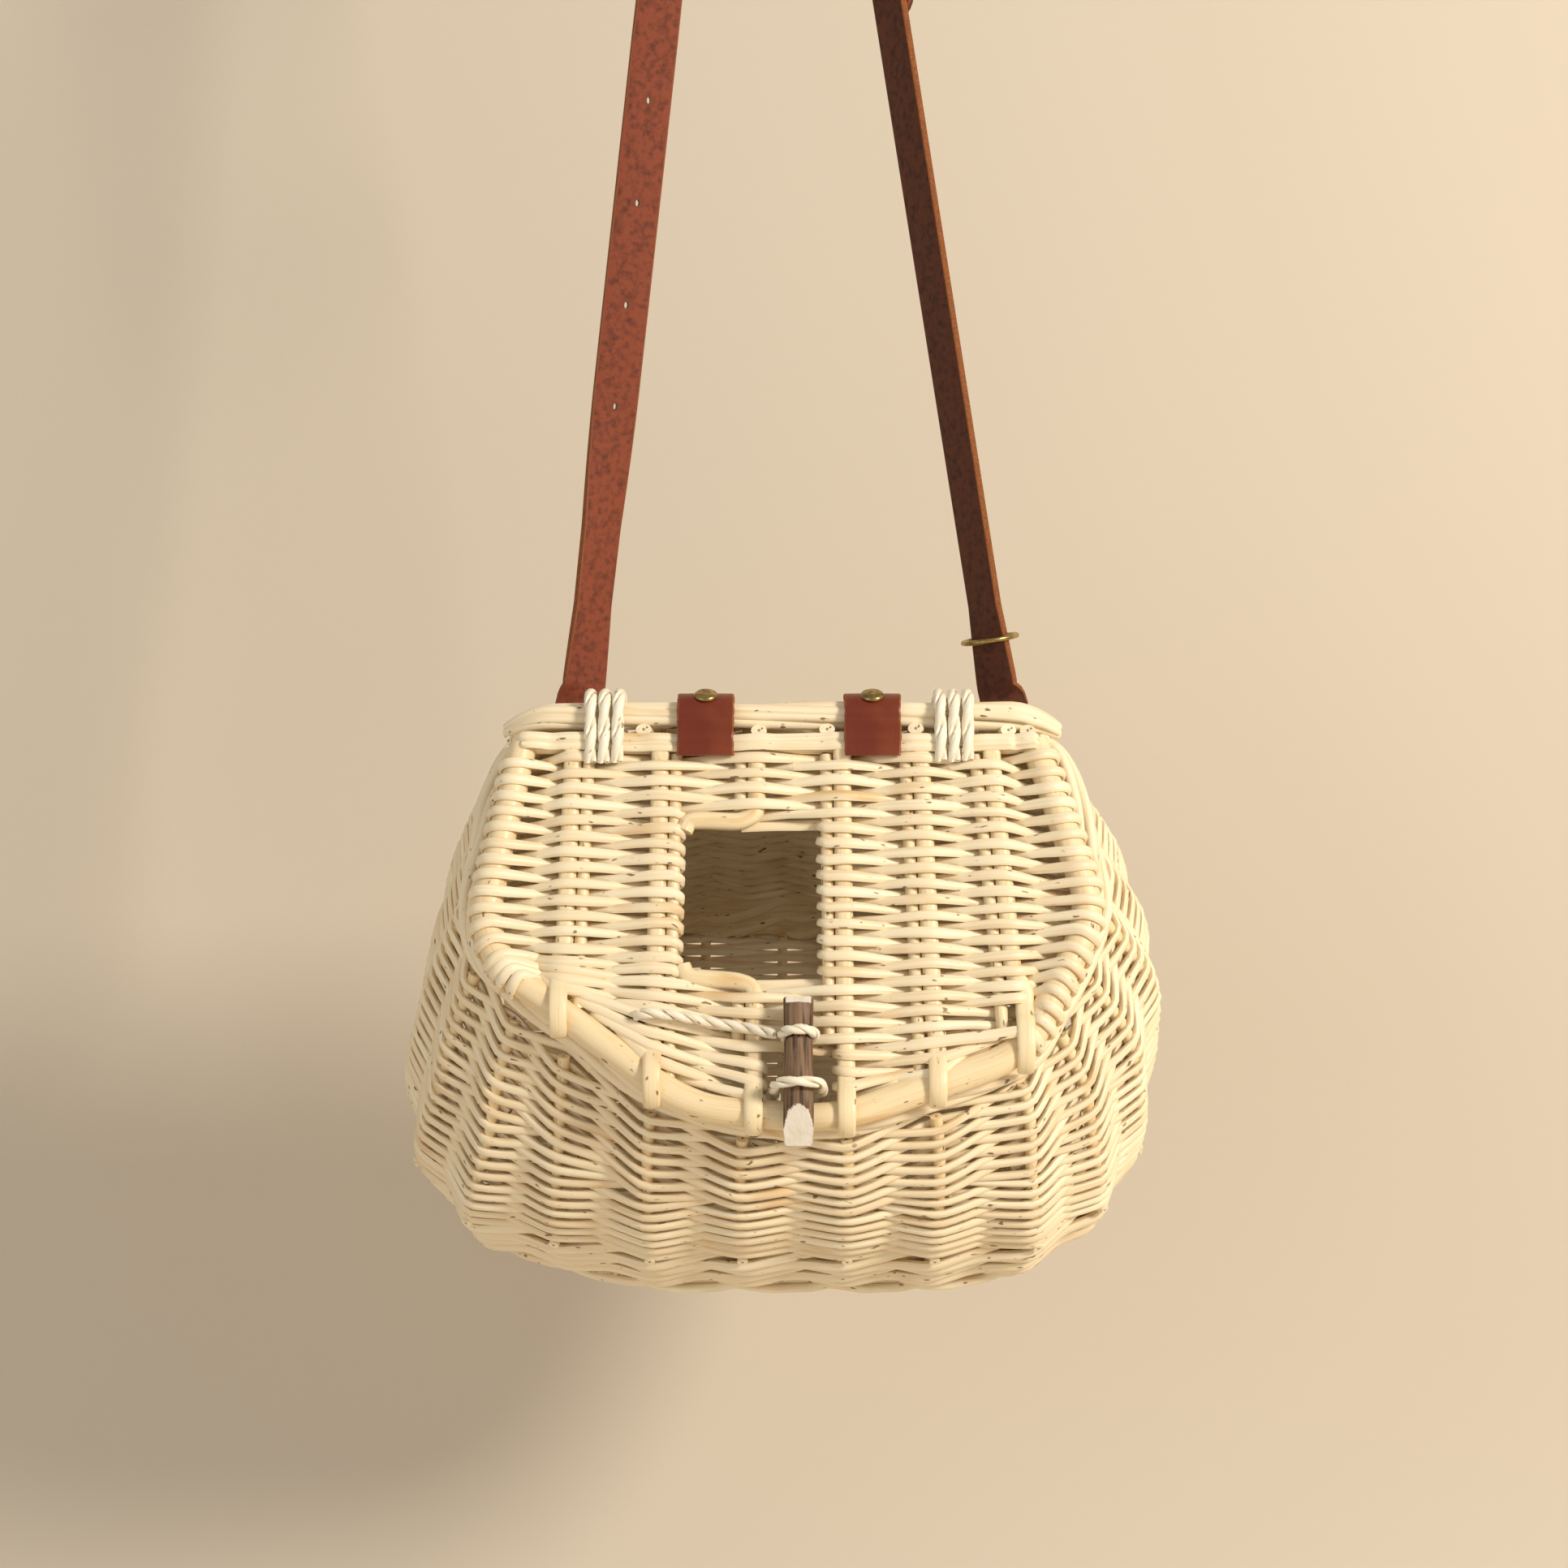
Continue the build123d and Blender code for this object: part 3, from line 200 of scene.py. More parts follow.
def rod(path, across, half_w, half_t, section=ROUND, closed=False, tone=0.5, start=0.0):
    """A section (u, v) carried along a path: point = path + w u W + t v N, where W is the direction across, made
    square to the path, and N = T x W. Flat caps close its ends. w and t may change along it."""
    path = np.asarray(path, float)
    n, sides = len(path), len(section)
    ahead = np.roll(path, -1, 0) if closed else np.vstack([path[1:], 2 * path[-1:] - path[-2:-1]])
    behind = np.roll(path, 1, 0) if closed else np.vstack([2 * path[:1] - path[1:2], path[:-1]])
    t = unit(ahead - behind)
    w = np.broadcast_to(np.asarray(across, float), path.shape)
    w = unit(w - (w * t).sum(-1, keepdims=True) * t)
    cu, cv = column(half_w, n) * section[:, 0], column(half_t, n) * section[:, 1]
    points = path[:, None] + cu[..., None] * w[:, None] + cv[..., None] * np.cross(t, w)[:, None]
    run = np.concatenate([[0], np.cumsum(np.linalg.norm(np.diff(path, axis=0), axis=1))]) + start
    grain = np.stack([np.broadcast_to(run[:, None], cu.shape), cu, cv], -1)
    i, k = np.meshgrid(np.arange(n if closed else n - 1), np.arange(sides), indexing="ij")
    j, m = (i + 1) % n, (k + 1) % sides
    quads = np.stack([i * sides + k, i * sides + m, j * sides + m, j * sides + k], -1).reshape(-1, 4)
    ends = [] if closed else [np.arange(sides)[::-1], (n - 1) * sides + np.arange(sides)]
    tones = np.repeat(np.broadcast_to(np.asarray(tone, float), (n,)), sides)
    return {"points": points.reshape(-1, 3), "grain": grain.reshape(-1, 3), "tone": tones, "quads": quads, "ends": ends}


def piece(name, rods, place, material, body, nodes=(), sharp=50.0):
    """One object from several rods, placed in the part's frame, in metres."""
    first = np.cumsum([0] + [len(r["points"]) for r in rods])
    faces = [face for r, o in zip(rods, first) for face in (r["quads"] + o).tolist()]
    faces += [(end + o).tolist() for r, o in zip(rods, first) for end in r["ends"]]
    mesh = bpy.data.meshes.new(name)
    mesh.from_pydata((place(np.concatenate([r["points"] for r in rods])) / 1000).tolist(), [], faces)
    grain = mesh.attributes.new("grain", "FLOAT_VECTOR", "POINT")
    grain.data.foreach_set("vector", (np.concatenate([r["grain"] for r in rods]) / 1000).astype(np.float32).ravel())
    tone = mesh.attributes.new("tone", "FLOAT", "POINT")
    tone.data.foreach_set("value", np.concatenate([r["tone"] for r in rods]).astype(np.float32))
    obj = bpy.data.objects.new(name, mesh)
    bpy.context.collection.objects.link(obj)
    return dressed(obj, material, body, nodes, sharp)


def dressed(obj, material, body, nodes=(), sharp=50.0):
    """Shades a piece, gives it its material, and has it ride on its body in place of its CAD nodes."""
    mesh = obj.data
    mesh.polygons.foreach_set("use_smooth", np.ones(len(mesh.polygons), bool))
    mesh.set_sharp_from_angle(angle=math.radians(sharp))
    mesh.materials.clear()
    mesh.materials.append(material)
    mesh.update()
    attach(obj, body)
    if nodes:
        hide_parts(*nodes)
    print(obj.name, len(mesh.polygons), "faces")
    return obj


def twist_along(path, lay, turns, phase, radius, across=(0, 0, 1)):
    """One strand of a twist: the path, moved off it by a radius that turns about it as it goes. lay is 1 or -1."""
    path = np.asarray(path, float)
    t = unit(np.gradient(path, axis=0))
    w = np.broadcast_to(np.asarray(across, float), path.shape)
    w = unit(w - (w * t).sum(-1, keepdims=True) * t)
    run = np.concatenate([[0], np.cumsum(np.linalg.norm(np.diff(path, axis=0), axis=1))])
    angle = (2 * np.pi * (turns * run / run[-1] * lay + phase))[:, None]
    out = np.cos(angle) * w + np.sin(angle) * np.cross(t, w)
    return path + radius * out, out


def strands(path, count, turns, radius, half_w, half_t, across=(0, 0, 1), lay=1, tone=0.3):
    """A twist of equal strands along a path."""
    made = []
    for k in range(count):
        line, out = twist_along(path, lay, turns, k / count, radius, across)
        made.append(rod(line, out, half_t, half_w, tone=tone + 0.12 * rng.random()))
    return made


# %% [markdown]
# Peeled willow is pale cream with a faint satin skin, long fine streaks, warmer patches and small brown flecks where
# side shoots were. One function makes each willow finish, because the weave, the bare hoop and the twisted cords differ
# only in colour and in how much they are marked.

# %% Willow


def colour(code):
    """sRGB hex to linear: c / 12.92, or ((c + 0.055) / 1.055) ** 2.4."""
    c = np.array([int(code[i : i + 2], 16) for i in (1, 3, 5)]) / 255
    return (*np.where(c <= 0.04045, c / 12.92, ((c + 0.055) / 1.055) ** 2.4).tolist(), 1.0)


def add(tree, kind, inputs=None, **settings):
    """Adds a node with its settings, and a value or a link for each named or numbered input."""
    new = tree.nodes.new(kind)
    for name, value in settings.items():
        setattr(new, name, value)
    for name, value in (inputs or {}).items():
        if isinstance(value, bpy.types.NodeSocket):
            tree.links.new(value, new.inputs[name])
        else:
            new.inputs[name].default_value = value
    return new


def blank(name):
    """A material with an empty tree and its output."""
    material = bpy.data.materials.new(name)
    material.use_nodes = True
    material.node_tree.nodes.clear()
    return material, material.node_tree, add(material.node_tree, "ShaderNodeOutputMaterial")


def peeled_willow(name, pale, warm, fleck, patches, roughness):
    """Streaks 1.5 mm across and 60 mm long, patches of some 40 mm, flecks of 1 to 2 mm, and the pith of a cut end."""
    material, tree, out = blank(name)
    grain = add(tree, "ShaderNodeAttribute", attribute_name="grain").outputs["Vector"]
    tone = add(tree, "ShaderNodeAttribute", attribute_name="tone").outputs["Fac"]
    shift = add(tree, "ShaderNodeCombineXYZ", {"X": tone, "Y": tone, "Z": tone}).outputs[0]
    moved = add(tree, "ShaderNodeVectorMath", {0: grain, 1: shift}, operation="ADD").outputs[0]
    lengthwise = add(tree, "ShaderNodeMapping", {"Vector": moved, "Scale": (16, 640, 640)}).outputs[0]
    streaks = add(tree, "ShaderNodeTexNoise", {"Vector": lengthwise, "Scale": 1.0, "Detail": 4.0}).outputs["Fac"]
    wide = add(tree, "ShaderNodeMapping", {"Vector": moved, "Scale": (22, 90, 90)}).outputs[0]
    blotches = add(tree, "ShaderNodeTexNoise", {"Vector": wide, "Scale": 1.0, "Detail": 2.0}).outputs["Fac"]
    spots = add(tree, "ShaderNodeMapping", {"Vector": moved, "Scale": (170, 420, 420)}).outputs[0]
    specks = add(tree, "ShaderNodeTexNoise", {"Vector": spots, "Scale": 1.0, "Detail": 1.0}).outputs["Fac"]
    patch = add(tree, "ShaderNodeMapRange", {0: blotches, 1: 0.62 - patches, 2: 0.80 - patches}).outputs[0]
    base = add(tree, "ShaderNodeMix", {0: patch, 6: colour(pale), 7: colour(warm)}, data_type="RGBA").outputs[2]
    rod_tone = add(tree, "ShaderNodeMapRange", {0: tone, 3: 0.0, 4: 0.30}).outputs[0]
    rods = add(tree, "ShaderNodeMix", {0: rod_tone, 6: base, 7: colour(warm)}, data_type="RGBA").outputs[2]
    line = add(tree, "ShaderNodeMapRange", {0: streaks, 1: 0.50, 2: 0.78, 4: 0.55}).outputs[0]
    lined = add(tree, "ShaderNodeMix", {0: line, 6: rods, 7: colour(warm)}, data_type="RGBA").outputs[2]
    dot = add(tree, "ShaderNodeMapRange", {0: specks, 1: 0.70, 2: 0.76, 4: 0.85}).outputs[0]
    dotted = add(tree, "ShaderNodeMix", {0: dot, 6: lined, 7: colour(fleck)}, data_type="RGBA").outputs[2]
    across = add(tree, "ShaderNodeVectorMath", {0: grain, 1: (0, 1, 1)}, operation="MULTIPLY").outputs[0]
    radius = add(tree, "ShaderNodeVectorMath", {0: across}, operation="LENGTH").outputs["Value"]
    pith = add(tree, "ShaderNodeMapRange", {0: radius, 1: 0.0009, 2: 0.0005, 4: 0.75}).outputs[0]
    final = add(tree, "ShaderNodeMix", {0: pith, 6: dotted, 7: colour(fleck)}, data_type="RGBA").outputs[2]
    bump = add(tree, "ShaderNodeBump", {"Height": streaks, "Strength": 0.35, "Distance": 0.0004}).outputs[0]
    skin = {"Base Color": final, "Roughness": roughness, "Normal": bump, "IOR": 1.47}
    shader = add(tree, "ShaderNodeBsdfPrincipled", skin).outputs[0]
    tree.links.new(shader, out.inputs[0])
    return material


WOVEN = peeled_willow("woven peeled willow", "#F9EBCB", "#DDB780", "#6A4420", 0.0, 0.44)
STAVE = peeled_willow("peeled willow stave", "#F4E1B8", "#D8AC6C", "#6A4420", 0.03, 0.40)
PLAIT = peeled_willow("twisted split willow", "#F8F0DC", "#E4C9A0", "#9A7548", 0.0, 0.48)
print("willow finishes made")

# %% [markdown]
# Twenty-four stakes stand round the foot, lean out to the belly and in again to the rim. Their places are found as a
# maker spaces them: at set distances along the straight back and front, and evenly round the sides. Each level of the
# basket is an outline with rounded corners, walked clockwise from the back left.

# %% Stakes
BACK_X = (-98.0, -57.0, -16.0, 25.0, 62.0, 101.5)
FRONT_X = (110.0, 70.0, 29.0, -18.0, -60.0, -100.0)
SIDE_STAKES = 6
FOOT_LINE = ((146, 88), (161, -50), (114, -109)), (42, 80, 90)
BELLY_LINE = ((158, 92), (182, -45), (118, -113)), (42, 90, 100)
RIM_LINE = ((132, -3.5), (151, -95), (114, -166), (24, -195), (-44, -190), (-150, -112), (-132, -3.5))
RIM_RADII = (34, 45, 48, 90, 60, 48, 34)
BELLY_Z = 78.0
HOOP_D = 14.0
BORDER_Z = -(HOOP_D / 2 + 0.3 + 6.0)


def mirrored(corners, radii):
    """An outline that is the same on the left as on the right."""
    return bent_outline([*corners, *[(-x, y) for x, y in reversed(corners)]], [*radii, *reversed(radii)], True)


def stations(outline, spread):
    """Every stake's place on an outline: where it passes each x, and even steps round each side."""
    count = 720
    line = np.vstack([outline, outline[:1]])
    length = np.linalg.norm(np.diff(line, axis=0), axis=1).sum()
    walk = even(outline, length / count, True)
    after = np.roll(walk, -1, 0)
    middle = walk[:, 1].mean()

    def passing(x, front):
        near = ((walk[:, 1] < middle) == front) & (np.minimum(walk[:, 0], after[:, 0]) <= x)
        i = int(np.argmax(near & (x < np.maximum(walk[:, 0], after[:, 0]))))
        return i + (x - walk[i, 0]) / (after[i, 0] - walk[i, 0])

    def sides(start, end):
        return start + ((end - start) % len(walk)) * np.arange(1, SIDE_STAKES + 1) / (SIDE_STAKES + 1)

    behind = [passing(x * spread, False) for x in BACK_X]
    before = [passing(x * spread, True) for x in FRONT_X]
    at = np.concatenate([behind, sides(behind[-1], before[0]), before, sides(before[-1], behind[0])]) % len(walk)
    i = at.astype(int)
    return walk[i] + (after[i] - walk[i]) * (at - i)[:, None]


def to_level(low, high, low_h, high_h, height):
    """The point between two others at which it reaches a height."""
    return low + (high - low) * ((height - low_h) / (high_h - low_h))[..., None]


foot = np.column_stack([stations(mirrored(*FOOT_LINE), 1.0), np.zeros(24)])
belly = np.column_stack([stations(mirrored(*BELLY_LINE), 1.05), np.full(24, BELLY_Z)])
border = np.column_stack([stations(bent_outline(RIM_LINE, RIM_RADII, True), 1.0), np.full(24, BORDER_Z)])
under_roll = (np.arange(24) > 0) & (np.arange(24) < 5)
rim = np.where(under_roll[:, None], np.column_stack([border[:, 0], np.full(24, ROLL_Y), np.full(24, ROLL_Z)]), from_lid(border))
below = to_level(belly, rim, to_lid(belly)[:, 2], to_lid(rim)[:, 2], np.full(24, BORDER_Z - 6.2))
woven = np.where(under_roll[:, None], to_level(belly, rim, belly[:, 2], rim[:, 2], np.full(24, 182.6)), below)
stake_ends = np.where(under_roll[:, None], to_level(belly, rim, belly[:, 2], rim[:, 2], np.full(24, 188.8)), below)
print("rim falls from", woven[:, 2].max().round(1), "to", woven[:, 2].min().round(1))

# How far a stake swells sideways below the belly and above it, and how far its foot and belly sit back, by stake.
LOW_SWELL = np.interp(np.arange(24), [0, 5, 6, 8, 10, 11, 12, 13, 16, 17, 18, 19, 21, 23], [0, 0, 3, 8, 11, 13, 9, 0, 0, 8, 19, 20, 12, 4])
HIGH_SWELL = np.interp(np.arange(24), [0, 5, 6, 7, 8, 10, 11, 12, 13, 17, 18, 22, 23], [0, 0, 2, 8, 11, 10, 6, 3, 1, 1, 3, 3, 1])
SET_BACK = np.interp(np.arange(24), [11, 12, 13, 16, 17, 18], [0, 1.5, 4, 4, 8, 0])


def outward(ring):
    """At each stake, level and square to the line between its neighbours."""
    along = np.roll(ring, -1, 0) - np.roll(ring, 1, 0)
    return unit(np.stack([-along[:, 1], along[:, 0], np.zeros(len(ring))], -1))


def bent_stake(height):
    """Every stake's point at a height. A stake runs from the foot to the belly and on to the rim, and swells sideways
    between them: low sin(pi u ** 0.8) below the belly and high sin(pi t) above it, u and t being 0 to 1 on each run."""
    u = np.clip(height / BELLY_Z, 0, 1)
    t = np.clip((height - BELLY_Z) / np.maximum(woven[:, 2] - BELLY_Z, 1), 0, 1.1)
    on_line = foot + (belly - foot) * u if height < BELLY_Z else belly + (woven - belly) * t[:, None]
    swell = LOW_SWELL * np.sin(np.pi * u**0.8) + HIGH_SWELL * np.sin(np.pi * np.minimum(t, 1))
    shift = np.stack([swell * np.sign(foot[:, 0]), SET_BACK * (1 - np.minimum(t, 1)), np.zeros(24)], -1)
    return on_line + shift


def stake_at(height):
    """The same, with the bend at the belly eased: the mean of the points up to 30 mm below and above, at this height."""
    reach = max(0.0, min(30.0, height, 120.0 - height))
    eased = np.mean([bent_stake(height + reach * part) for part in (-1, -0.6, -0.2, 0.2, 0.6, 1)], axis=0)
    eased[:, 2] = bent_stake(height)[:, 2]
    return eased


stakes = []
for i in range(24):
    heights = np.linspace(0.6, stake_ends[i, 2], 16)
    line = through(np.array([stake_at(height)[i] for height in heights]), 6)
    stakes.append(rod(line, (0, 0, 1), 3.0, 3.0, tone=0.5 * rng.random()))
piece("stakes", stakes, hung, STAVE, "basket", ["side_stakes"])

# %% [markdown]
# The siding is a rand: each rod goes in front of one stake and behind the next, and the row above does the opposite. A
# rod is stiff, so it lies nearly straight from the outside of one stake to the inside of the next and bends sharply
# round it. Its distance from the stakes' line is then the triangle wave a (2 / pi) asin(0.96 cos(pi s)), s in stakes.
# The rim is lower in front, so the back needs more rows: pairs of short rows are packed in between, as a maker does.

# %% Siding
ROW_PITCH = 3.55
ROWS_FROM = 42.8
LOW_ROWS = 12

levels = np.arange(ROWS_FROM, 186.0, 1.0)
walls = np.array([stake_at(level) for level in levels])
risen = np.vstack([np.zeros(24), np.linalg.norm(np.diff(walls, axis=0), axis=2).cumsum(0)])
whole = np.array([np.interp(woven[i, 2], levels, risen[:, i]) for i in range(24)])
full_rows = int(whole.min() / ROW_PITCH)
pairs = np.round((whole / ROW_PITCH - full_rows) / 2).astype(int)
pitch = whole / (full_rows + 2 * pairs)
print("full rows", full_rows + 1, "packed pairs", pairs.tolist())


def up_the_wall(distance):
    """Each stake's point at its own distance up the wall from the lowest row."""
    found = [[np.interp(distance[i], risen[:, i], walls[:, i, k]) for k in range(3)] for i in range(24)]
    return np.array(found)


def on_ring(ring, s):
    """A point at a fractional stake number, going round."""
    i = np.floor(s).astype(int)
    part = (s - i)[:, None]
    return ring[i % 24] * (1 - part) + ring[(i + 1) % 24] * part


def randed(ring, first, last, phase, seed, swing=5.3):
    """A rod from one fractional stake to another, thinner to its tip, and flattened where it bends round a stake."""
    s = np.linspace(first, last, int(round((last - first) * 9)) + 1)
    wave = np.cos(np.pi * (s + phase))
    off = swing * (2 / np.pi) * np.arcsin(0.965 * wave)
    line = on_ring(ring, s) + on_ring(outward(ring), s) * off[:, None]
    line[:, 2] += 0.35 * np.sin(2.1 * s + 9 * seed)
    butt = np.interp(s, [first, last], [1.07, 0.88])
    at_stake = np.abs(wave) ** 4
    return rod(line, (0, 0, 1), butt * (2.4 + 0.25 * at_stake), butt * (2.15 - 0.3 * at_stake), tone=seed, start=29.0 * seed)


def cut_up(first, last, phase):
    """Joins of a row: at stakes that it passes inside, so that no end shows."""
    joins = [first]
    while last - joins[-1] > 9:
        near = int(joins[-1]) + int(rng.choice([4, 6, 8]))
        joins.append(near if (near + phase) % 2 else near + 1)
    return [*joins, last]


siding = []
for k in range(full_rows + 1):
    above = k >= LOW_ROWS
    ring = up_the_wall(pitch * (k + 2 * pairs * above))
    start = int(rng.integers(0, 24))
    start += (start + k) % 2 == 0
    cuts = cut_up(start, start + 24, k)
    siding += [randed(ring, a - 0.3, b + 0.3, k % 2, rng.random()) for a, b in zip(cuts, cuts[1:])]
for k in range(2 * int(pairs.max())):
    has_row = 2 * pairs > k
    ring = up_the_wall(pitch * (LOW_ROWS + np.minimum(k, 2 * pairs)))
    starts = [i for i in range(24) if has_row[i] and not has_row[i - 1]]
    for a in starts:
        b = a
        while has_row[(b + 1) % 24]:
            b += 1
        a_end, b_end = (a - 0.7 if (a + k) % 2 == 0 else a - 0.2), (b + 0.7 if (b + k) % 2 == 0 else b + 0.2)
        cuts = cut_up(a_end, b_end, k)
        siding += [randed(ring, p - 0.3 * (p > a_end), q + 0.3 * (q < b_end), k % 2, rng.random()) for p, q in zip(cuts, cuts[1:])]
piece("siding", siding, hung, WOVEN, "basket", ["siding_back", "siding_left", "siding_right", "siding_front"])

# %% [markdown]
# The stakes are turned up through a wale, a thick band of three rods worked together: each goes in front of two stakes
# and behind one, and drops as it goes, so that the next rod lies over it. That gives the band its slanting, rope-like
# face. At its top the cut ends of the stakes' other halves show. Below it, the foot is a plain scalloped border.

# %% Wale and foot
WALE_ROUNDS = 2
WALE_STEP = 7.4


def waled(round_no, strand):
    """One rod of a wale, once round, with u going from 0 to 1 over three stakes: it is inside the first, at u = 0, and
    in front of the two others, and falls by a rod's thickness from each to the next."""
    s = np.linspace(0, 24, 24 * 10 + 1)[:-1]
    u = ((s + strand) % 3) / 3
    off = np.interp(u, [0, 0.07, 0.16, 0.25, 0.34, 0.50, 0.66, 0.76, 0.88, 1], [-3.4, -2.2, 1.2, 3.4, 5.9, 2.2, 5.7, 1.2, -2.4, -3.4])
    fall = np.interp(u, [0, 0.12, 0.88, 1], [0, 0.38, -0.38, 0])
    height = 11.5 + WALE_STEP * (2 * round_no + 0.5) + 3 * WALE_STEP * fall
    low_ring, high_ring = stake_at(9.0), stake_at(43.0)
    up = ((height - 9.0) / 34.0)[:, None]
    line = on_ring(low_ring, s) * (1 - up) + on_ring(high_ring, s) * up + on_ring(outward(high_ring), s) * off[:, None]
    soft = (np.roll(line, 1, 0) + 2 * line + np.roll(line, -1, 0)) / 4
    slope = on_ring(high_ring - low_ring, s)
    spread = np.linalg.norm(slope, axis=1) / 34.0
    return rod(soft, slope, 3.3 * spread, 2.6, closed=True, tone=0.6 * rng.random(), start=17.0 * strand)


def inner_row(height):
    """A row of the wale's inner face: a flat rod once round, behind the others and along the wall's slope."""
    s = np.linspace(0, 24, 24 * 10 + 1)[:-1]
    low_ring, high_ring = stake_at(9.0), stake_at(43.0)
    up, slope = (height - 9.0) / 34.0, on_ring(high_ring - low_ring, s)
    line = on_ring(low_ring, s) + slope * up - on_ring(outward(high_ring), s) * (1.7 + 0.5 * np.cos(2 * np.pi * s))[:, None]
    return rod(line, slope, 3.75 * np.linalg.norm(slope, axis=1) / 34.0, 1.1, closed=True, tone=0.35, start=height)


wale = [waled(n, strand) for n in range(WALE_ROUNDS) for strand in range(3)]
wale += [inner_row(height) for height in (12.0, 18.5, 25.0, 31.5, 38.0)]
cut_ends = []
for i in range(24):
    ring = stake_at(41.0)
    out = outward(ring)[i]
    base = ring[i] + np.array([out[1], -out[0], 0]) * rng.uniform(-1.5, 1.5)
    line = even(np.array([base + out * 2.0, base + out * 6.6 + (0, 0, 0.8)]), 2)
    cut_ends.append(rod(line, (0, 0, 1), 2.3, 2.5, section=circle(12), tone=0.1))
piece("wale", wale + cut_ends, hung, WOVEN, "basket", ["upsett_wale"])

foot_rods = []
for i in range(24):
    s = np.linspace(i - 0.3, i + 1.45, 20)
    u = np.linspace(0, 1, 20)
    height = np.interp(u, [0, 0.15, 0.35, 0.6, 0.85, 1], [9.0, 6.0, 3.2, 2.6, 4.6, 8.5])
    off = np.interp(u, [0, 0.15, 0.35, 0.6, 0.85, 1], [-1.0, 2.4, 4.8, 5.2, 3.0, -1.5])
    ring = stake_at(0.0)
    line = on_ring(ring, s) + on_ring(outward(ring), s) * off[:, None]
    line[:, 2] = height
    foot_rods.append(rod(through(line, 3.0), (0, 0, 1), 2.45, 2.3, tone=0.8 * rng.random()))
inner = even(np.vstack([stake_at(0.0), stake_at(0.0)[:1]]), 4.0)[:-1]
inner[:, 2] = 3.4
foot_rods.append(rod(inner, (0, 0, 1), 2.6, 3.0, closed=True, tone=0.4))
piece("foot_ring", foot_rods, hung, WOVEN, "basket", ["foot_border"])

# %% [markdown]
# The base is woven flat on seven sticks. Its rods run from side to side, over one stick and under the next.

# %% Base
STICKS_X = np.arange(-120.0, 121.0, 40.0)
inside_foot = mirrored(((139, 86), (154, -46), (110, -104)), (36, 76, 84))


def crossing(outline, y):
    """The lowest and highest x at which a closed outline passes y."""
    nxt = np.roll(outline, -1, 0)
    hit = (np.minimum(outline[:, 1], nxt[:, 1]) <= y) & (y < np.maximum(outline[:, 1], nxt[:, 1]))
    a, b = outline[hit], nxt[hit]
    x = a[:, 0] + (b[:, 0] - a[:, 0]) * (y - a[:, 1]) / (b[:, 1] - a[:, 1])
    return x.min(), x.max()


base_rods = []
for k, y in enumerate(np.arange(-101.0, 85.5, 3.7)):
    left, right = crossing(inside_foot, y)
    x = np.linspace(left, right, 90)
    z = 5.4 + 2.5 * (2 / np.pi) * np.arcsin(0.97 * np.cos(np.pi * (x + 120) / 40 + np.pi * k))
    base_rods.append(rod(np.column_stack([x, np.full(90, y), z]), (0, 1, 0), 2.5, 1.4, tone=rng.random(), start=31.0 * k))
piece("base_rods", base_rods, hung, WOVEN, "basket", ["base_weave"])
sticks = []
for x in STICKS_X:
    ys = [y for y in np.arange(-104.0, 86.0, 1.0) if np.ptp(crossing(inside_foot, np.clip(y, -103, 85))) > 2 * abs(x)]
    sticks.append(rod(even(np.array([(x, ys[0], 5.4), (x, ys[-1], 5.4)]), 8), (1, 0, 0), 2.6, 2.0, tone=0.4))
piece("base_staves", sticks, hung, STAVE, "basket", ["base_sticks"])

# %% [markdown]
# Round the sides and the front the stakes are turned down into a border: four rods that wind round each other, one
# turn to every six bays. Along the straight back the border is a thicker bundle of nearly straight rods, on which the
# lid turns. The ends of its rods are cut off slantwise and show their pith.

# %% Border
side_path = np.vstack([border[5:], border[:1]])
side_path = np.vstack([side_path[:1] + (-9, 2, 2), side_path, side_path[-1:] + (9, 2, 2)])
side_path = through(side_path, 4.0)
piece("border", strands(side_path, 4, 3.2, 3.1, 2.9, 2.7), hung_lid, WOVEN, "basket", ["top_border"])

ROLL_L = 262.0
x = np.linspace(-ROLL_L / 2, ROLL_L / 2, 70)
roll = []
for k in range(6):
    a = 2 * np.pi * (k / 6 + 0.42 * x / ROLL_L) + 0.25 * np.sin(x / 31 + 2.0 * k)
    r = 4.0 + 0.35 * np.sin(x / 23 + 1.7 * k)
    end = np.clip((np.abs(x) - 106) / 25, 0, 1) ** 2
    line = np.column_stack([x, r * np.cos(a) * (1 - 0.5 * end) - 4.0 * end, r * np.sin(a) * (1 - 0.5 * end) - 10.0 * end])
    thick = (2.75 + 0.35 * np.sin(x / 60 + 2.6 * k)) * (1 - 0.35 * end)
    roll.append(rod(line, (0, 0, 1), thick, thick, tone=0.15 + 0.1 * k))
for x_end in (-65, -11, 21, 62.5, 106, 115):
    lean, y_end = rng.uniform(-1.5, 1.5), -8.4 + rng.uniform(-0.4, 0.4)
    line = even(np.array([(x_end - lean, y_end + 1.5, -4.0), (x_end, y_end, 4.6 + rng.uniform(0, 1.2))]), 3)
    roll.append(rod(line, (1, 0, 0), 3.7, 2.7, section=circle(14), tone=0.1))
piece("back_roll", roll, hung_lid, WOVEN, "basket", ["back_border"])

# %% [markdown]
# Two loops of willow stand out of the back, with their legs through the siding, and the strap turns round them.

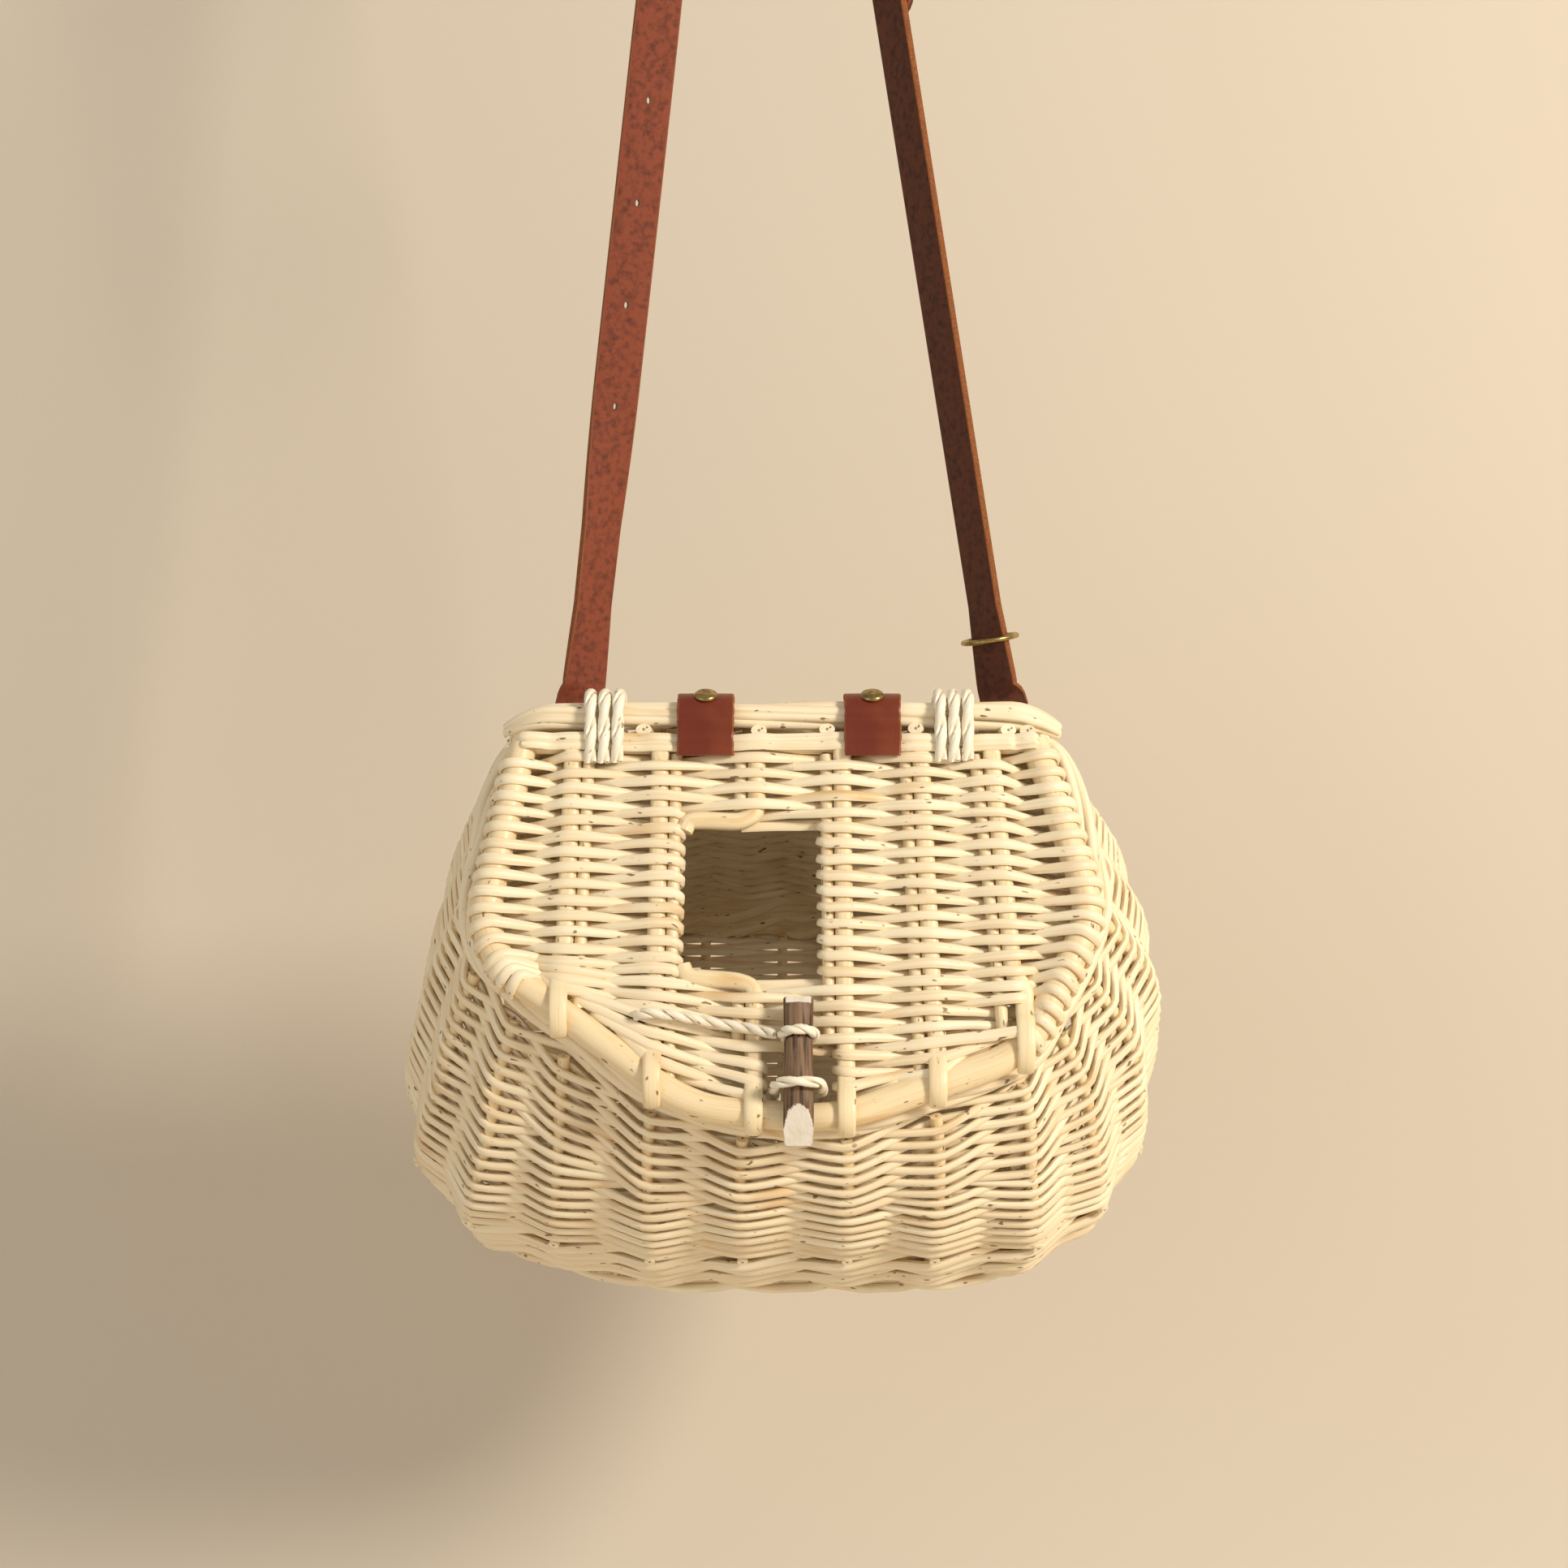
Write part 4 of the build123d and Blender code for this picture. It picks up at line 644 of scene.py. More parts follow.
# %% Strap loops and latch staple
STRAP_X = (-98.0, 107.0)
loops = []
for x in STRAP_X:
    points = [(x - 15, BAR_Y - 20, BAR_Z), (x - 15, BAR_Y - 6, BAR_Z), (x - 13, BAR_Y - 1.2, BAR_Z), (x - 8, BAR_Y, BAR_Z)]
    points += [(2 * x - p[0], p[1], p[2]) for p in reversed(points)]
    loops.append(rod(through(points, 2.0), (0, 0, 1), 3.0, 3.0, section=circle(12), tone=0.3))
piece("strap_staples", loops, hung, STAVE, "basket", ["strap_loops"])

PEG_X, PEG_R, PEG_TOP, PEG_L, PEG_Z = 7.3, 6.7, -139.7, 67.0, 14.0
half = PEG_R + 1.3 + 2.5
staple_y = -180.3
staple = [(-half, -186, BORDER_Z - 1), (-half, -182.5, BORDER_Z + 4), (-half, staple_y, -7), (-half - 0.4, staple_y, 6)]
staple += [(-half + 0.8, staple_y, PEG_Z + 5), (-half * 0.55, staple_y, PEG_Z + half - 1.8)]
staple += [(0, staple_y, PEG_Z + half)]
staple += [(-x, y, z) for x, y, z in reversed(staple[:-1])]
staple = through([(PEG_X + x, y, z) for x, y, z in staple], 1.2)
piece("staple", strands(staple, 2, 3.6, 1.25, 1.75, 1.3, (0, 1, 0)), hung_lid, PLAIT, "basket", ["latch_loop"])

# %% [markdown]
# The lid's frame is a thick peeled rod bent into a hoop, its ends at the back. It was shaved with a knife as it was
# bent, so it is a little flat in places. Its line is the same rounded outline as the plain solid's.

# %% Hoop and rail
HOOP_LINE = ((-121, -12), (-140.5, -113), (-42, -187.5), (24, -193), (110, -162), (143.5, -97), (118, -12))
HOOP_RADII = (42, 60, 90, 45, 42)
RAIL_Y = -15.5
hoop = even(bent_outline(HOOP_LINE, HOOP_RADII, False), 3.0)
run = np.arange(len(hoop)) * 3.0
dents = 0.22 * np.sin(run / 19) + 0.18 * np.sin(run / 7.3 + 1) + 0.2 * np.sin(run / 41 + 2)
hoop_rod = rod(np.column_stack([hoop, 0.35 * np.sin(run / 33)]), (0, 0, 1), 6.85 + dents, 6.85 - dents, section=circle(20), tone=0.45)
piece("hoop", [hoop_rod], hung_lid, STAVE, "lid", ["lid_hoop"])


def rail_end(a, b):
    """X at which a straight run of the hoop passes the rail."""
    return a[0] + (b[0] - a[0]) * (RAIL_Y - a[1]) / (b[1] - a[1])


rail_left, rail_right = rail_end(*HOOP_LINE[:2]), rail_end(*HOOP_LINE[:-3:-1])
rail = even(np.array([(rail_left, RAIL_Y, 0), (rail_right, RAIL_Y, 0)]), 6)
piece("rail", [rod(rail, (0, 0, 1), 3.4, 3.4, tone=0.3)], hung_lid, STAVE, "lid", ["lid_rear_rail"])

# %% [markdown]
# Six ribs run from the rail to the hoop, each with a thinner rod beside it. In front, a rib's end is thinned, laid over
# the hoop and bent down. The rib that meets the fish hole is cranked round its left side.

# %% Ribs
RIBS = ((-98, -102), (-57, -59), (-12, -13), (28, 29), (65, 70.5), (98, 111))
RIB_R, LINER_R = 4.25, 3.0
BESIDE = RIB_R + LINER_R + 0.1
HOLE_X, HOLE_Y = (-46.4, 18.2), (-127.0, -56.0)
SLOT_X, SLOT_Y = (-9.4, 24.2), (-184.0, -161.5)
CRANKED = 2


def rib_x(i, y):
    """A rib's x where it passes y: a straight line from the rail to the hoop."""
    rail_x, hoop_x = RIBS[i]
    return rail_x + (hoop_x - rail_x) * (np.asarray(y) + 19.6) / (-193 + 19.6)


def liner_side(i):
    return 1 if i < CRANKED else -1


def hoop_front(x):
    """The hoop's y in front, at x."""
    front = hoop[hoop[:, 1] < -100]
    order = np.argsort(front[:, 0])
    return float(np.interp(x, front[order, 0], front[order, 1]))


def lapped(i):
    """The last points of a rib: up from the weave, over the hoop and down in front of it."""
    x = float(rib_x(i, -185))
    y = hoop_front(x)
    ahead, behind = hoop_front(x + 3), hoop_front(x - 3)
    lean = (ahead - behind) / 6
    wider = math.hypot(1, lean)
    marks = ((24, 0.6, 1.0, 0.85), (17, 2.0, 1.0, 0.58), (10.5, 4.9, 1.0, 0.46), (5.0, 7.8, 1.0, 0.42), (0.0, 8.8, 1.0, 0.40))
    marks += ((-4.5, 7.5, 0.98, 0.40), (-7.8, 4.0, 0.96, 0.38), (-9.2, -0.5, 0.93, 0.36), (-8.4, -3.4, 0.8, 0.3))
    return [(x, y + off * (wider if off < 9 else 1), z, w * RIB_R, t * RIB_R) for off, z, w, t in marks]


RIB_SECTION = circle(16, 0.72)
ribs = []
for i, (rail_x, _) in enumerate(RIBS):
    if i == CRANKED:
        continue
    head = [(rail_x, -13.2, 4.6, 2.6, 0.9), (rail_x, -15.5, 4.9, 3.6, 1.4), (rail_x, -19.5, 3.4, 4.2, 2.6)]
    body = [(float(rib_x(i, y)), y, 0.0, RIB_R, RIB_R) for y in np.linspace(-26, hoop_front(float(rib_x(i, -185))) + 33, 7)]
    line = through(head + body + lapped(i), 2.5)
    ribs.append(rod(line[:, :3], (1, 0, 0), line[:, 3], line[:, 4], section=RIB_SECTION, tone=0.25 * rng.random()))
piece("ribs", ribs, hung_lid, STAVE, "lid", ["lid_ribs"])

liners = []
for i in range(6):
    x_of = lambda y: rib_x(i, y) + liner_side(i) * BESIDE
    front = SLOT_Y[1] + 4 if i in (CRANKED, 3) else hoop_front(float(x_of(-180))) + 6.5
    spans = [(-19.6, HOLE_Y[1] + 8.7), (HOLE_Y[0] - 8.7, front)] if i == CRANKED else [(-19.6, front)]
    for y0, y1 in spans:
        y = np.linspace(y0, y1, 14)
        line = np.column_stack([x_of(y), y, np.full(14, 0.0)])
        liners.append(rod(line, (1, 0, 0), LINER_R, LINER_R, tone=0.4 * rng.random()))
piece("liners", liners, hung_lid, STAVE, "lid", ["lid_rib_liners"])

start_x, end_x = RIBS[CRANKED][0], float(rib_x(CRANKED, -150))
upper = [(start_x, -19.6), (start_x, -30), (start_x, -42), (start_x - 1.2, -48.4), (start_x - 6.5, -51.6), (-24, -52.2)]
upper += [(-38, -51.6), (-43.5, -52.4), (-45.8, -57)]
lower = [(-46, -121.5), (-43.8, -125.6), (-38, -127.2), (-26, -128.2), (end_x - 6.5, -129.2), (end_x - 1.2, -132), (end_x, -139)]
upper = [(x, y, 0.6, RIB_R, RIB_R) for x, y in upper]
lower = [(x, y, 0.6, RIB_R, RIB_R) for x, y in lower] + [(end_x, -150, 0.2, RIB_R, RIB_R)] + lapped(CRANKED)
cranks = [through(upper, 2.0), through(lower, 2.0)]
cranks = [rod(c[:, :3], (0, 0, 1), c[:, 4], c[:, 3], section=circle(12), tone=0.1) for c in cranks]
piece("hole_frame", cranks, hung_lid, STAVE, "lid", ["fish_hole_frame"])

# %% [markdown]
# The lid is filled by one long weaver at a time. It runs across, over one rib and its liner and under the next, goes
# round the hoop and comes back the other way, so every second row wraps the hoop. At the fish hole and at the slot for
# the latch it turns back round the rod beside the opening. The rows bunch up and slant along the hoop at the front left.

# %% Lid weave
WEAVER_PITCH = 3.85
WEAVER_W, WEAVER_T = 2.5, 1.35


def row_y(y0, x):
    """A row's y: level, but in front it slopes back to the left, and a little to the right."""
    front = np.clip((-118 - y0) / 66, 0, 1)
    return y0 + front * (0.36 * np.maximum(-18 - x, 0) + 0.12 * np.maximum(x - 40, 0))


def hoop_meets(y0):
    """Where a row meets the hoop on the left and on the right: the point, and the hoop's direction outward there."""
    gap = hoop[:, 1] - row_y(y0, hoop[:, 0])
    cross = np.nonzero(np.sign(gap[:-1]) != np.sign(gap[1:]))[0]
    cross = cross[np.argsort(hoop[cross, 0])][[0, -1]]
    at = hoop[cross] + (hoop[cross + 1] - hoop[cross]) * (gap[cross] / (gap[cross] - gap[cross + 1]))[:, None]
    t = unit(hoop[cross + 1] - hoop[cross])
    out = np.stack([t[:, 1], -t[:, 0]], -1)
    return [(p, o if o @ (p - (0, -95)) > 0 else -o) for p, o in zip(at, out)]


def wrap(centre, out, radius, shift):
    """A half turn round a rod, from on top of it to under it: centre + r cos(a) out + r sin(a) up."""
    a = np.linspace(math.radians(100), math.radians(-100), 9)
    side = np.array([-out[1], out[0]]) * (-1 if out[0] > 0 else 1)
    flat = centre + radius * np.cos(a)[:, None] * out + side * np.linspace(0, shift, 9)[:, None]
    return np.column_stack([flat, radius * np.sin(a)])


def row_end(y0, x, out_x, radius, over, shift):
    """A row's end at a straight rod beside an opening."""
    centre = np.array([x, row_y(y0, x)])
    if over:
        return wrap(centre, np.array([out_x, 0.0]), radius + WEAVER_T, shift)
    return np.array([(centre[0] - out_x * 3, centre[1], -radius - WEAVER_T), (centre[0], centre[1], -radius - WEAVER_T)])


def hoop_end(y0, side, over):
    """A row's end at the hoop: round it if the row comes over it, else under it. In front, where the hoop runs nearly
    along the row, the end is tucked beneath."""
    centre, out = hoop_meets(y0)[side]
    if abs(out[0]) < 0.62 + 0.1 * side:
        return np.array([(*(centre - out * 8.6), 1.4 if over else -1.4), (*(centre - out * 5.0), -6.5)])
    radius = HOOP_D / 2 + WEAVER_T
    return wrap(centre, out, radius, WEAVER_PITCH) if over else np.array([(*(centre - out * 7), -6.6), (*centre, -radius)])


def weaver(k, y0, ribs_passed, left, right):
    """A row of the weave from its left end, over and under its ribs, to its right end."""
    points = [left] if len(left) else []
    for i in ribs_passed:
        sign = 1 if (i + k) % 2 == 0 else -1
        thick = float(rib_x(i, y0))
        thin = thick + liner_side(i) * BESIDE
        at = [(thick - 2.4, RIB_R), (thick + 2.4, RIB_R), (thin + liner_side(i) * 1.2, LINER_R)]
        if i in (CRANKED, 3) and (SLOT_Y[0] < y0 < SLOT_Y[1] or (i == CRANKED and y0 < HOLE_Y[1])):
            at = at[:2]
        at = sorted(at)
        points.append(np.array([(x, row_y(y0, x), sign * (r + WEAVER_T - 0.15)) for x, r in at]))
    points.append(right)
    line = kinked(np.vstack(points), 1.5, 2)
    high = np.clip(np.abs(line[:, 2]) / 5.0, 0, 1)
    wander = 0.35 * np.sin(line[:, 0] / 17 + 2.3 * k) + 0.2 * np.sin(line[:, 0] / 6.1 + 1.1 * k)
    line[:, 1] += wander
    w = WEAVER_W * (0.84 + 0.16 * high) * rng.uniform(0.92, 1.08)
    t = WEAVER_T * (1.15 - 0.2 * high)
    across = np.cross(unit(np.gradient(line, axis=0)), (0, 0, 1))
    steep = np.linalg.norm(across, axis=1) < 0.35
    across[steep] = (0, 1, 0)
    across = np.where((across[:, 1] < 0)[:, None], -across, across)
    return rod(line, across, w, t, tone=rng.random() * 0.9, start=23.0 * k)


weavers = []
for k, y0 in enumerate(np.arange(-21.6, -183.5, -WEAVER_PITCH)):
    over_left, over_right = k % 2 == 1, k % 2 == 0
    left, right = hoop_end(y0, 0, over_left)[::-1], hoop_end(y0, 1, over_right)
    x_left, x_right = left[-1, 0], right[0, 0]
    passed = [i for i in range(6) if x_left + 7 < rib_x(i, y0) < x_right - 7]
    if HOLE_Y[0] - 5.5 < y0 < HOLE_Y[1] + 9.5:
        thin_left, thin_right = float(rib_x(1, y0)) + BESIDE, float(rib_x(3, y0)) - BESIDE
        end = row_end(y0, thin_left, 1.0, LINER_R, k % 2 == 1, WEAVER_PITCH)
        weavers.append(weaver(k, y0, [i for i in passed if i < 2], left, end))
        if HOLE_Y[0] < y0 < HOLE_Y[1]:
            begin = row_end(y0, thin_right, -1.0, LINER_R, (3 + k) % 2 == 0, -WEAVER_PITCH)[::-1]
        else:
            begin = row_end(y0, float(rib_x(2, y0)) - 7.0, -1.0, RIB_R, False, 0.0)[::-1]
        weavers.append(weaver(k, y0, [i for i in passed if i > 2], begin, right))
    elif SLOT_Y[0] < y0 < SLOT_Y[1]:
        end = row_end(y0, float(rib_x(2, y0)), 1.0, RIB_R, k % 2 == 0, WEAVER_PITCH)
        weavers.append(weaver(k, y0, [i for i in passed if i < 2], left, end))
        begin = row_end(y0, float(rib_x(3, y0)), -1.0, RIB_R, (3 + k) % 2 == 0, -WEAVER_PITCH)[::-1]
        weavers.append(weaver(k, y0, [i for i in passed if i > 3], begin, right))
    else:
        weavers.append(weaver(k, y0, passed, left, right))
for k, y0 in enumerate((-12.6, -16.6)):
    heads = [(-125.5 + 3 * k, y0, -3.0), (-128.5 + 1.5 * k, y0, 2.0), (-122 + k, y0, 7.6), (-112, y0, 6.6)]
    heads += [(x + side, y0, high) for x, _ in RIBS for side, high in ((-10, 4.8), (-4, 6.0), (4, 6.0), (10, 4.8))]
    heads += [(107.5, y0, 6.6), (117.5 + k, y0, 7.6), (124.5 - k, y0, 2.0), (121.5 - k, y0, -3.0)]
    line = through(np.array(sorted(heads)), 3.0)
    line[:, 1] += 0.5 * np.sin(line[:, 0] / 19 + k)
    weavers.append(rod(line, (0, 1, 0), 2.3, 1.3, tone=0.4 * rng.random(), start=40.0 * k))
piece("lid_rows", weavers, hung_lid, WOVEN, "lid", ["lid_weave"])

# %% [markdown]
# The lid hangs on two willow loops, each of three strands wrapped side by side round the roll, and every strand is two
# split rods twisted together.

# %% Willow hinges
ROLL_R = 7.0


def round_roll(end, on_lid, radius):
    """From on the lid, up over the roll, round its back and under it: y and z."""
    a = np.radians(np.arange(100, -171, -15.0))
    arc = np.column_stack([radius * np.cos(a), radius * np.sin(a)])
    flap = np.array([(-end, on_lid - 1.2), (-end + 5, on_lid + 0.4), (-radius - 3.5, on_lid + 2.0), (-radius * 0.55, radius * 0.86)])
    return np.vstack([flap, arc, [(-14, -4.5), (-19, -3.4)]])


for side, x in (("left", -83.3), ("right", 80.4)):
    made = []
    for k in (-1, 0, 1):
        loop = round_roll(24.0 + rng.uniform(-1, 1), 6.4, ROLL_R + 3.1)
        lean = np.linspace(-0.7, 0.7, len(loop)) * k
        path = through(np.column_stack([x + k * 6.9 + lean, loop]), 1.2)
        made += strands(path, 2, 2.6, 1.45, 2.2, 1.6, (1, 0, 0), tone=0.05)
    piece(f"willow_loops_{side}", made, hung_lid, PLAIT, "lid", [f"willow_hinge_{side}"])

# %% [markdown]
# The tether is two split rods twisted together. Its line is a smooth curve through the route's points, and
# the two strands wind round it. One end is looped round a rib, the other round the peg.

# %% Tether
COLLAR_X = PEG_X - (PEG_R - 1.8 + 4.6) - 1.0
ROUTE = [(-66.5, -146.0, 4.6), (-65.0, -146.0, 12.0), (-50.0, -146.5, 10.0), (-32.0, -149.5, 7.2), (-14.0, -152.5, 8.6)]
ROUTE.append((COLLAR_X, -156.7, PEG_Z))

curve = bpy.data.curves.new("tether_line", "CURVE")
curve.dimensions = "3D"
curve.resolution_u = 24
spline = curve.splines.new("NURBS")
spline.points.add(len(ROUTE) - 1)
spline.points.foreach_set("co", np.column_stack([hung_lid(ROUTE) / 1000, np.ones(len(ROUTE))]).ravel())
spline.order_u = 3
spline.use_endpoint_u = True
line_object = bpy.data.objects.new("tether_line", curve)
bpy.context.collection.objects.link(line_object)
line_mesh = bpy.data.meshes.new_from_object(line_object)
tether_line = np.empty(len(line_mesh.vertices) * 3)
line_mesh.vertices.foreach_get("co", tether_line)
tether_line = tether_line.reshape(-1, 3)
bpy.data.objects.remove(line_object)
tether_length = float(np.linalg.norm(np.diff(tether_line, axis=0), axis=1).sum())
print("tether is", round(tether_length * 1000, 1), "mm long")

tether_path = even(tether_line * 1000, 0.9)
tether = piece("tether", strands(tether_path, 2, 3.7, 1.25, 1.75, 1.3, (0, 0, 1)), as_is, PLAIT, "lid", ["tether_cord"])

# %% [markdown]
# The peg is a stick with its bark left on, dark brown and cracked lengthwise. Its top is notched, its foot is cut to a
# long pale bevel, and the tether goes round it in a groove. A point that would stand above a cut is brought down onto
# it, and remembers that it's bare wood.

# %% Peg
GROOVE_Y = -156.7


def barked_peg():
    """A stick along -Y whose radius is 6.7 + bark ridges, less its groove, with its two cuts as planes."""
    y = np.concatenate([[PEG_TOP, PEG_TOP - 0.6], np.arange(PEG_TOP - 1.4, PEG_TOP - PEG_L + 0.6, -0.7), [PEG_TOP - PEG_L]])
    a = np.linspace(0, 2 * np.pi, 56, endpoint=False)
    yy, aa = np.meshgrid(y, a, indexing="ij")
    ridge = 0.16 * np.sin(9 * aa + 0.25 * np.sin(yy / 5)) + 0.12 * np.sin(17 * aa + 1.5 * np.sin(yy / 9))
    groove = 1.7 * np.exp(-(((yy - GROOVE_Y) / 2.3) ** 4))
    end = 0.5 * (np.abs(yy - PEG_TOP) < 0.3) + 0.4 * (np.abs(yy - PEG_TOP + PEG_L) < 0.3)
    r = PEG_R - 0.2 + ridge - groove - end + 0.15 * np.sin(yy / 8)
    x, z = r * np.cos(aa), r * np.sin(aa)
    tip = PEG_TOP - PEG_L
    bevel = -PEG_R / 2 + (yy - tip) * (1.5 * PEG_R / 17.0)
    notch = np.where(yy > PEG_TOP - 3.2, 3.0, 99.0)
    cut = np.minimum(bevel, notch)
    bare = (z > cut + 0.02) | (end > 0)
    return np.stack([PEG_X + x, yy, PEG_Z + np.minimum(z, cut)], -1), bare, yy, aa, r


points, bare, yy, aa, r = barked_peg()
rings, sides = yy.shape
i, k = np.meshgrid(np.arange(rings - 1), np.arange(sides), indexing="ij")
m = (k + 1) % sides
quads = np.stack([i * sides + k, (i + 1) * sides + k, (i + 1) * sides + m, i * sides + m], -1).reshape(-1, 4)[:, ::-1]
stick = {
    "points": points.reshape(-1, 3),
    "grain": np.stack([-yy, 6.7 * aa, bare * 1.0], -1).reshape(-1, 3),
    "tone": bare.astype(float).ravel(),
    "quads": quads,
    "ends": [np.arange(sides), ((rings - 1) * sides + np.arange(sides))[::-1]],
}


def barked(name):
    """Bark with lengthwise cracks 1 to 2 mm apart, and pale bare wood where the tone is 1."""
    material, tree, out = blank(name)
    tone = add(tree, "ShaderNodeAttribute", attribute_name="tone").outputs["Fac"]
    place = add(tree, "ShaderNodeTexCoord").outputs["Object"]
    turned = add(tree, "ShaderNodeMapping", {"Vector": place, "Rotation": (-HANG_TILT - RIM_SLOPE, 0, 0)}).outputs[0]
    long = add(tree, "ShaderNodeMapping", {"Vector": turned, "Scale": (620, 45, 620)}).outputs[0]
    cracks = add(tree, "ShaderNodeTexNoise", {"Vector": long, "Scale": 1.0, "Detail": 5.0}).outputs["Fac"]
    soft = add(tree, "ShaderNodeTexNoise", {"Vector": turned, "Scale": 140.0, "Detail": 3.0}).outputs["Fac"]
    dark = add(tree, "ShaderNodeMapRange", {0: cracks, 1: 0.42, 2: 0.62}).outputs[0]
    bark = add(tree, "ShaderNodeMix", {0: dark, 6: colour("#84664C"), 7: colour("#402B1B")}, data_type="RGBA").outputs[2]
    grey = add(tree, "ShaderNodeMapRange", {0: soft, 1: 0.52, 2: 0.72, 4: 0.5}).outputs[0]
    mixed = add(tree, "ShaderNodeMix", {0: grey, 6: bark, 7: colour("#7E6E5A")}, data_type="RGBA").outputs[2]
    wood = add(tree, "ShaderNodeMix", {0: soft, 6: colour("#F0E9DD"), 7: colour("#D8C9B2")}, data_type="RGBA").outputs[2]
    both = add(tree, "ShaderNodeMix", {0: tone, 6: mixed, 7: wood}, data_type="RGBA").outputs[2]
    bump = add(tree, "ShaderNodeBump", {"Height": cracks, "Strength": 0.6, "Distance": 0.0006}).outputs[0]
    shader = add(tree, "ShaderNodeBsdfPrincipled", {"Base Color": both, "Roughness": 0.72, "Normal": bump}).outputs[0]
    tree.links.new(shader, out.inputs[0])
    return material


BARK = barked("willow bark")
piece("barked_peg", [stick], hung_lid, BARK, "peg", ["latch_peg"])

turn = np.linspace(0, 2 * np.pi, 48, endpoint=False)
ring = np.column_stack([PEG_X + 7.3 * np.cos(turn), GROOVE_Y + 0.8 * np.sin(turn), PEG_Z + 7.3 * np.sin(turn)])


def closed_twist(ring, centre, turns, radius, half_w, half_t):
    """Two strands wound round a closed ring."""
    made = []
    n = len(ring)
    out = unit(ring - np.asarray(centre))
    t = unit(np.roll(ring, -1, 0) - np.roll(ring, 1, 0))
    side = np.cross(t, out)
    for k in range(2):
        a = (2 * np.pi * (turns * np.arange(n) / n + k / 2))[:, None]
        away = np.cos(a) * out + np.sin(a) * side
        made.append(rod(ring + radius * away, away, half_t, half_w, closed=True, tone=0.1 + 0.15 * k))
    return made


piece("peg_collar", closed_twist(ring, (PEG_X, GROOVE_Y, PEG_Z), 3, 1.2, 1.75, 1.3), hung_lid, PLAIT, "peg", ["tether_collar"])
RIB_LOOP = (float(rib_x(1, -146.0)), -146.0, 0.6)
ring = np.column_stack([RIB_LOOP[0] + 6.6 * np.cos(turn), RIB_LOOP[1] + 1.0 * np.sin(turn), RIB_LOOP[2] + 6.9 * np.sin(turn)])
piece("rib_collar", closed_twist(ring, RIB_LOOP, 2, 1.2, 1.7, 1.25), hung_lid, PLAIT, "lid")

# %% [markdown]
# Bridle leather has a smooth dyed grain side and a suede-like flesh side, and its cut edge is lighter and rough. One
# function makes each leather, from the colours of those three. The piece's grain attribute says where a point is across
# the strap and through it, so the edge's band and the creased line stay beside the edge as the strap twists.

# %% Leather


def leather(name, grain_colour, worn, flesh, speck, raw, half_w, half_t, gloss):
    """Grain side: pores 0.5 mm apart and worn patches. Flesh side: nap with dark specks of 1 mm. Edge: raw fibres."""
    material, tree, out = blank(name)
    place = add(tree, "ShaderNodeAttribute", attribute_name="grain").outputs["Vector"]
    split = add(tree, "ShaderNodeSeparateXYZ", {"Vector": place})
    at_edge = add(tree, "ShaderNodeMath", {0: split.outputs["Y"]}, operation="ABSOLUTE").outputs[0]
    fine = add(tree, "ShaderNodeTexNoise", {"Vector": place, "Scale": 1500.0, "Detail": 3.0}).outputs["Fac"]
    mottle = add(tree, "ShaderNodeTexNoise", {"Vector": place, "Scale": 330.0, "Detail": 6.0}).outputs["Fac"]
    broad = add(tree, "ShaderNodeTexNoise", {"Vector": place, "Scale": 40.0, "Detail": 3.0}).outputs["Fac"]
    pores = add(tree, "ShaderNodeTexVoronoi", {"Vector": place, "Scale": 1400.0}).outputs["Distance"]
    wear = add(tree, "ShaderNodeMapRange", {0: broad, 1: 0.45, 2: 0.75, 4: 0.75}).outputs[0]
    smooth = add(tree, "ShaderNodeMix", {0: wear, 6: colour(grain_colour), 7: colour(worn)}, data_type="RGBA").outputs[2]
    nap = add(tree, "ShaderNodeMapRange", {0: mottle, 1: 0.44, 2: 0.74}).outputs[0]
    suede = add(tree, "ShaderNodeMix", {0: nap, 6: colour(flesh), 7: colour(speck)}, data_type="RGBA").outputs[2]
    front = add(tree, "ShaderNodeMath", {0: split.outputs["Z"], 1: 0.0}, operation="GREATER_THAN").outputs[0]
    faces = add(tree, "ShaderNodeMix", {0: front, 6: suede, 7: smooth}, data_type="RGBA").outputs[2]
    jitter = add(tree, "ShaderNodeMath", {0: mottle, 1: 0.0012, 2: -0.0006}, operation="MULTIPLY_ADD").outputs[0]
    near = add(tree, "ShaderNodeMath", {0: at_edge, 1: jitter}, operation="ADD").outputs[0]
    side = half_w / 1000
    raw_part = add(tree, "ShaderNodeMapRange", {0: near, 1: side - 0.0009, 2: side - 0.0003}).outputs[0]
    fibres = add(tree, "ShaderNodeMix", {0: fine, 6: colour(raw), 7: colour(speck)}, data_type="RGBA").outputs[2]
    final = add(tree, "ShaderNodeMix", {0: raw_part, 6: faces, 7: fibres}, data_type="RGBA").outputs[2]
    rough = add(tree, "ShaderNodeMapRange", {0: front, 3: 0.82, 4: gloss}).outputs[0]
    rougher = add(tree, "ShaderNodeMath", {0: rough, 1: raw_part}, operation="MAXIMUM").outputs[0]
    height = add(tree, "ShaderNodeMath", {0: pores, 1: 0.5, 2: fine}, operation="MULTIPLY_ADD").outputs[0]
    bump = add(tree, "ShaderNodeBump", {"Height": height, "Strength": 0.3, "Distance": 0.0003}).outputs[0]
    skin = {"Base Color": final, "Roughness": rougher, "Normal": bump, "IOR": 1.5}
    shader = add(tree, "ShaderNodeBsdfPrincipled", skin).outputs[0]
    tree.links.new(shader, out.inputs[0])
    return material


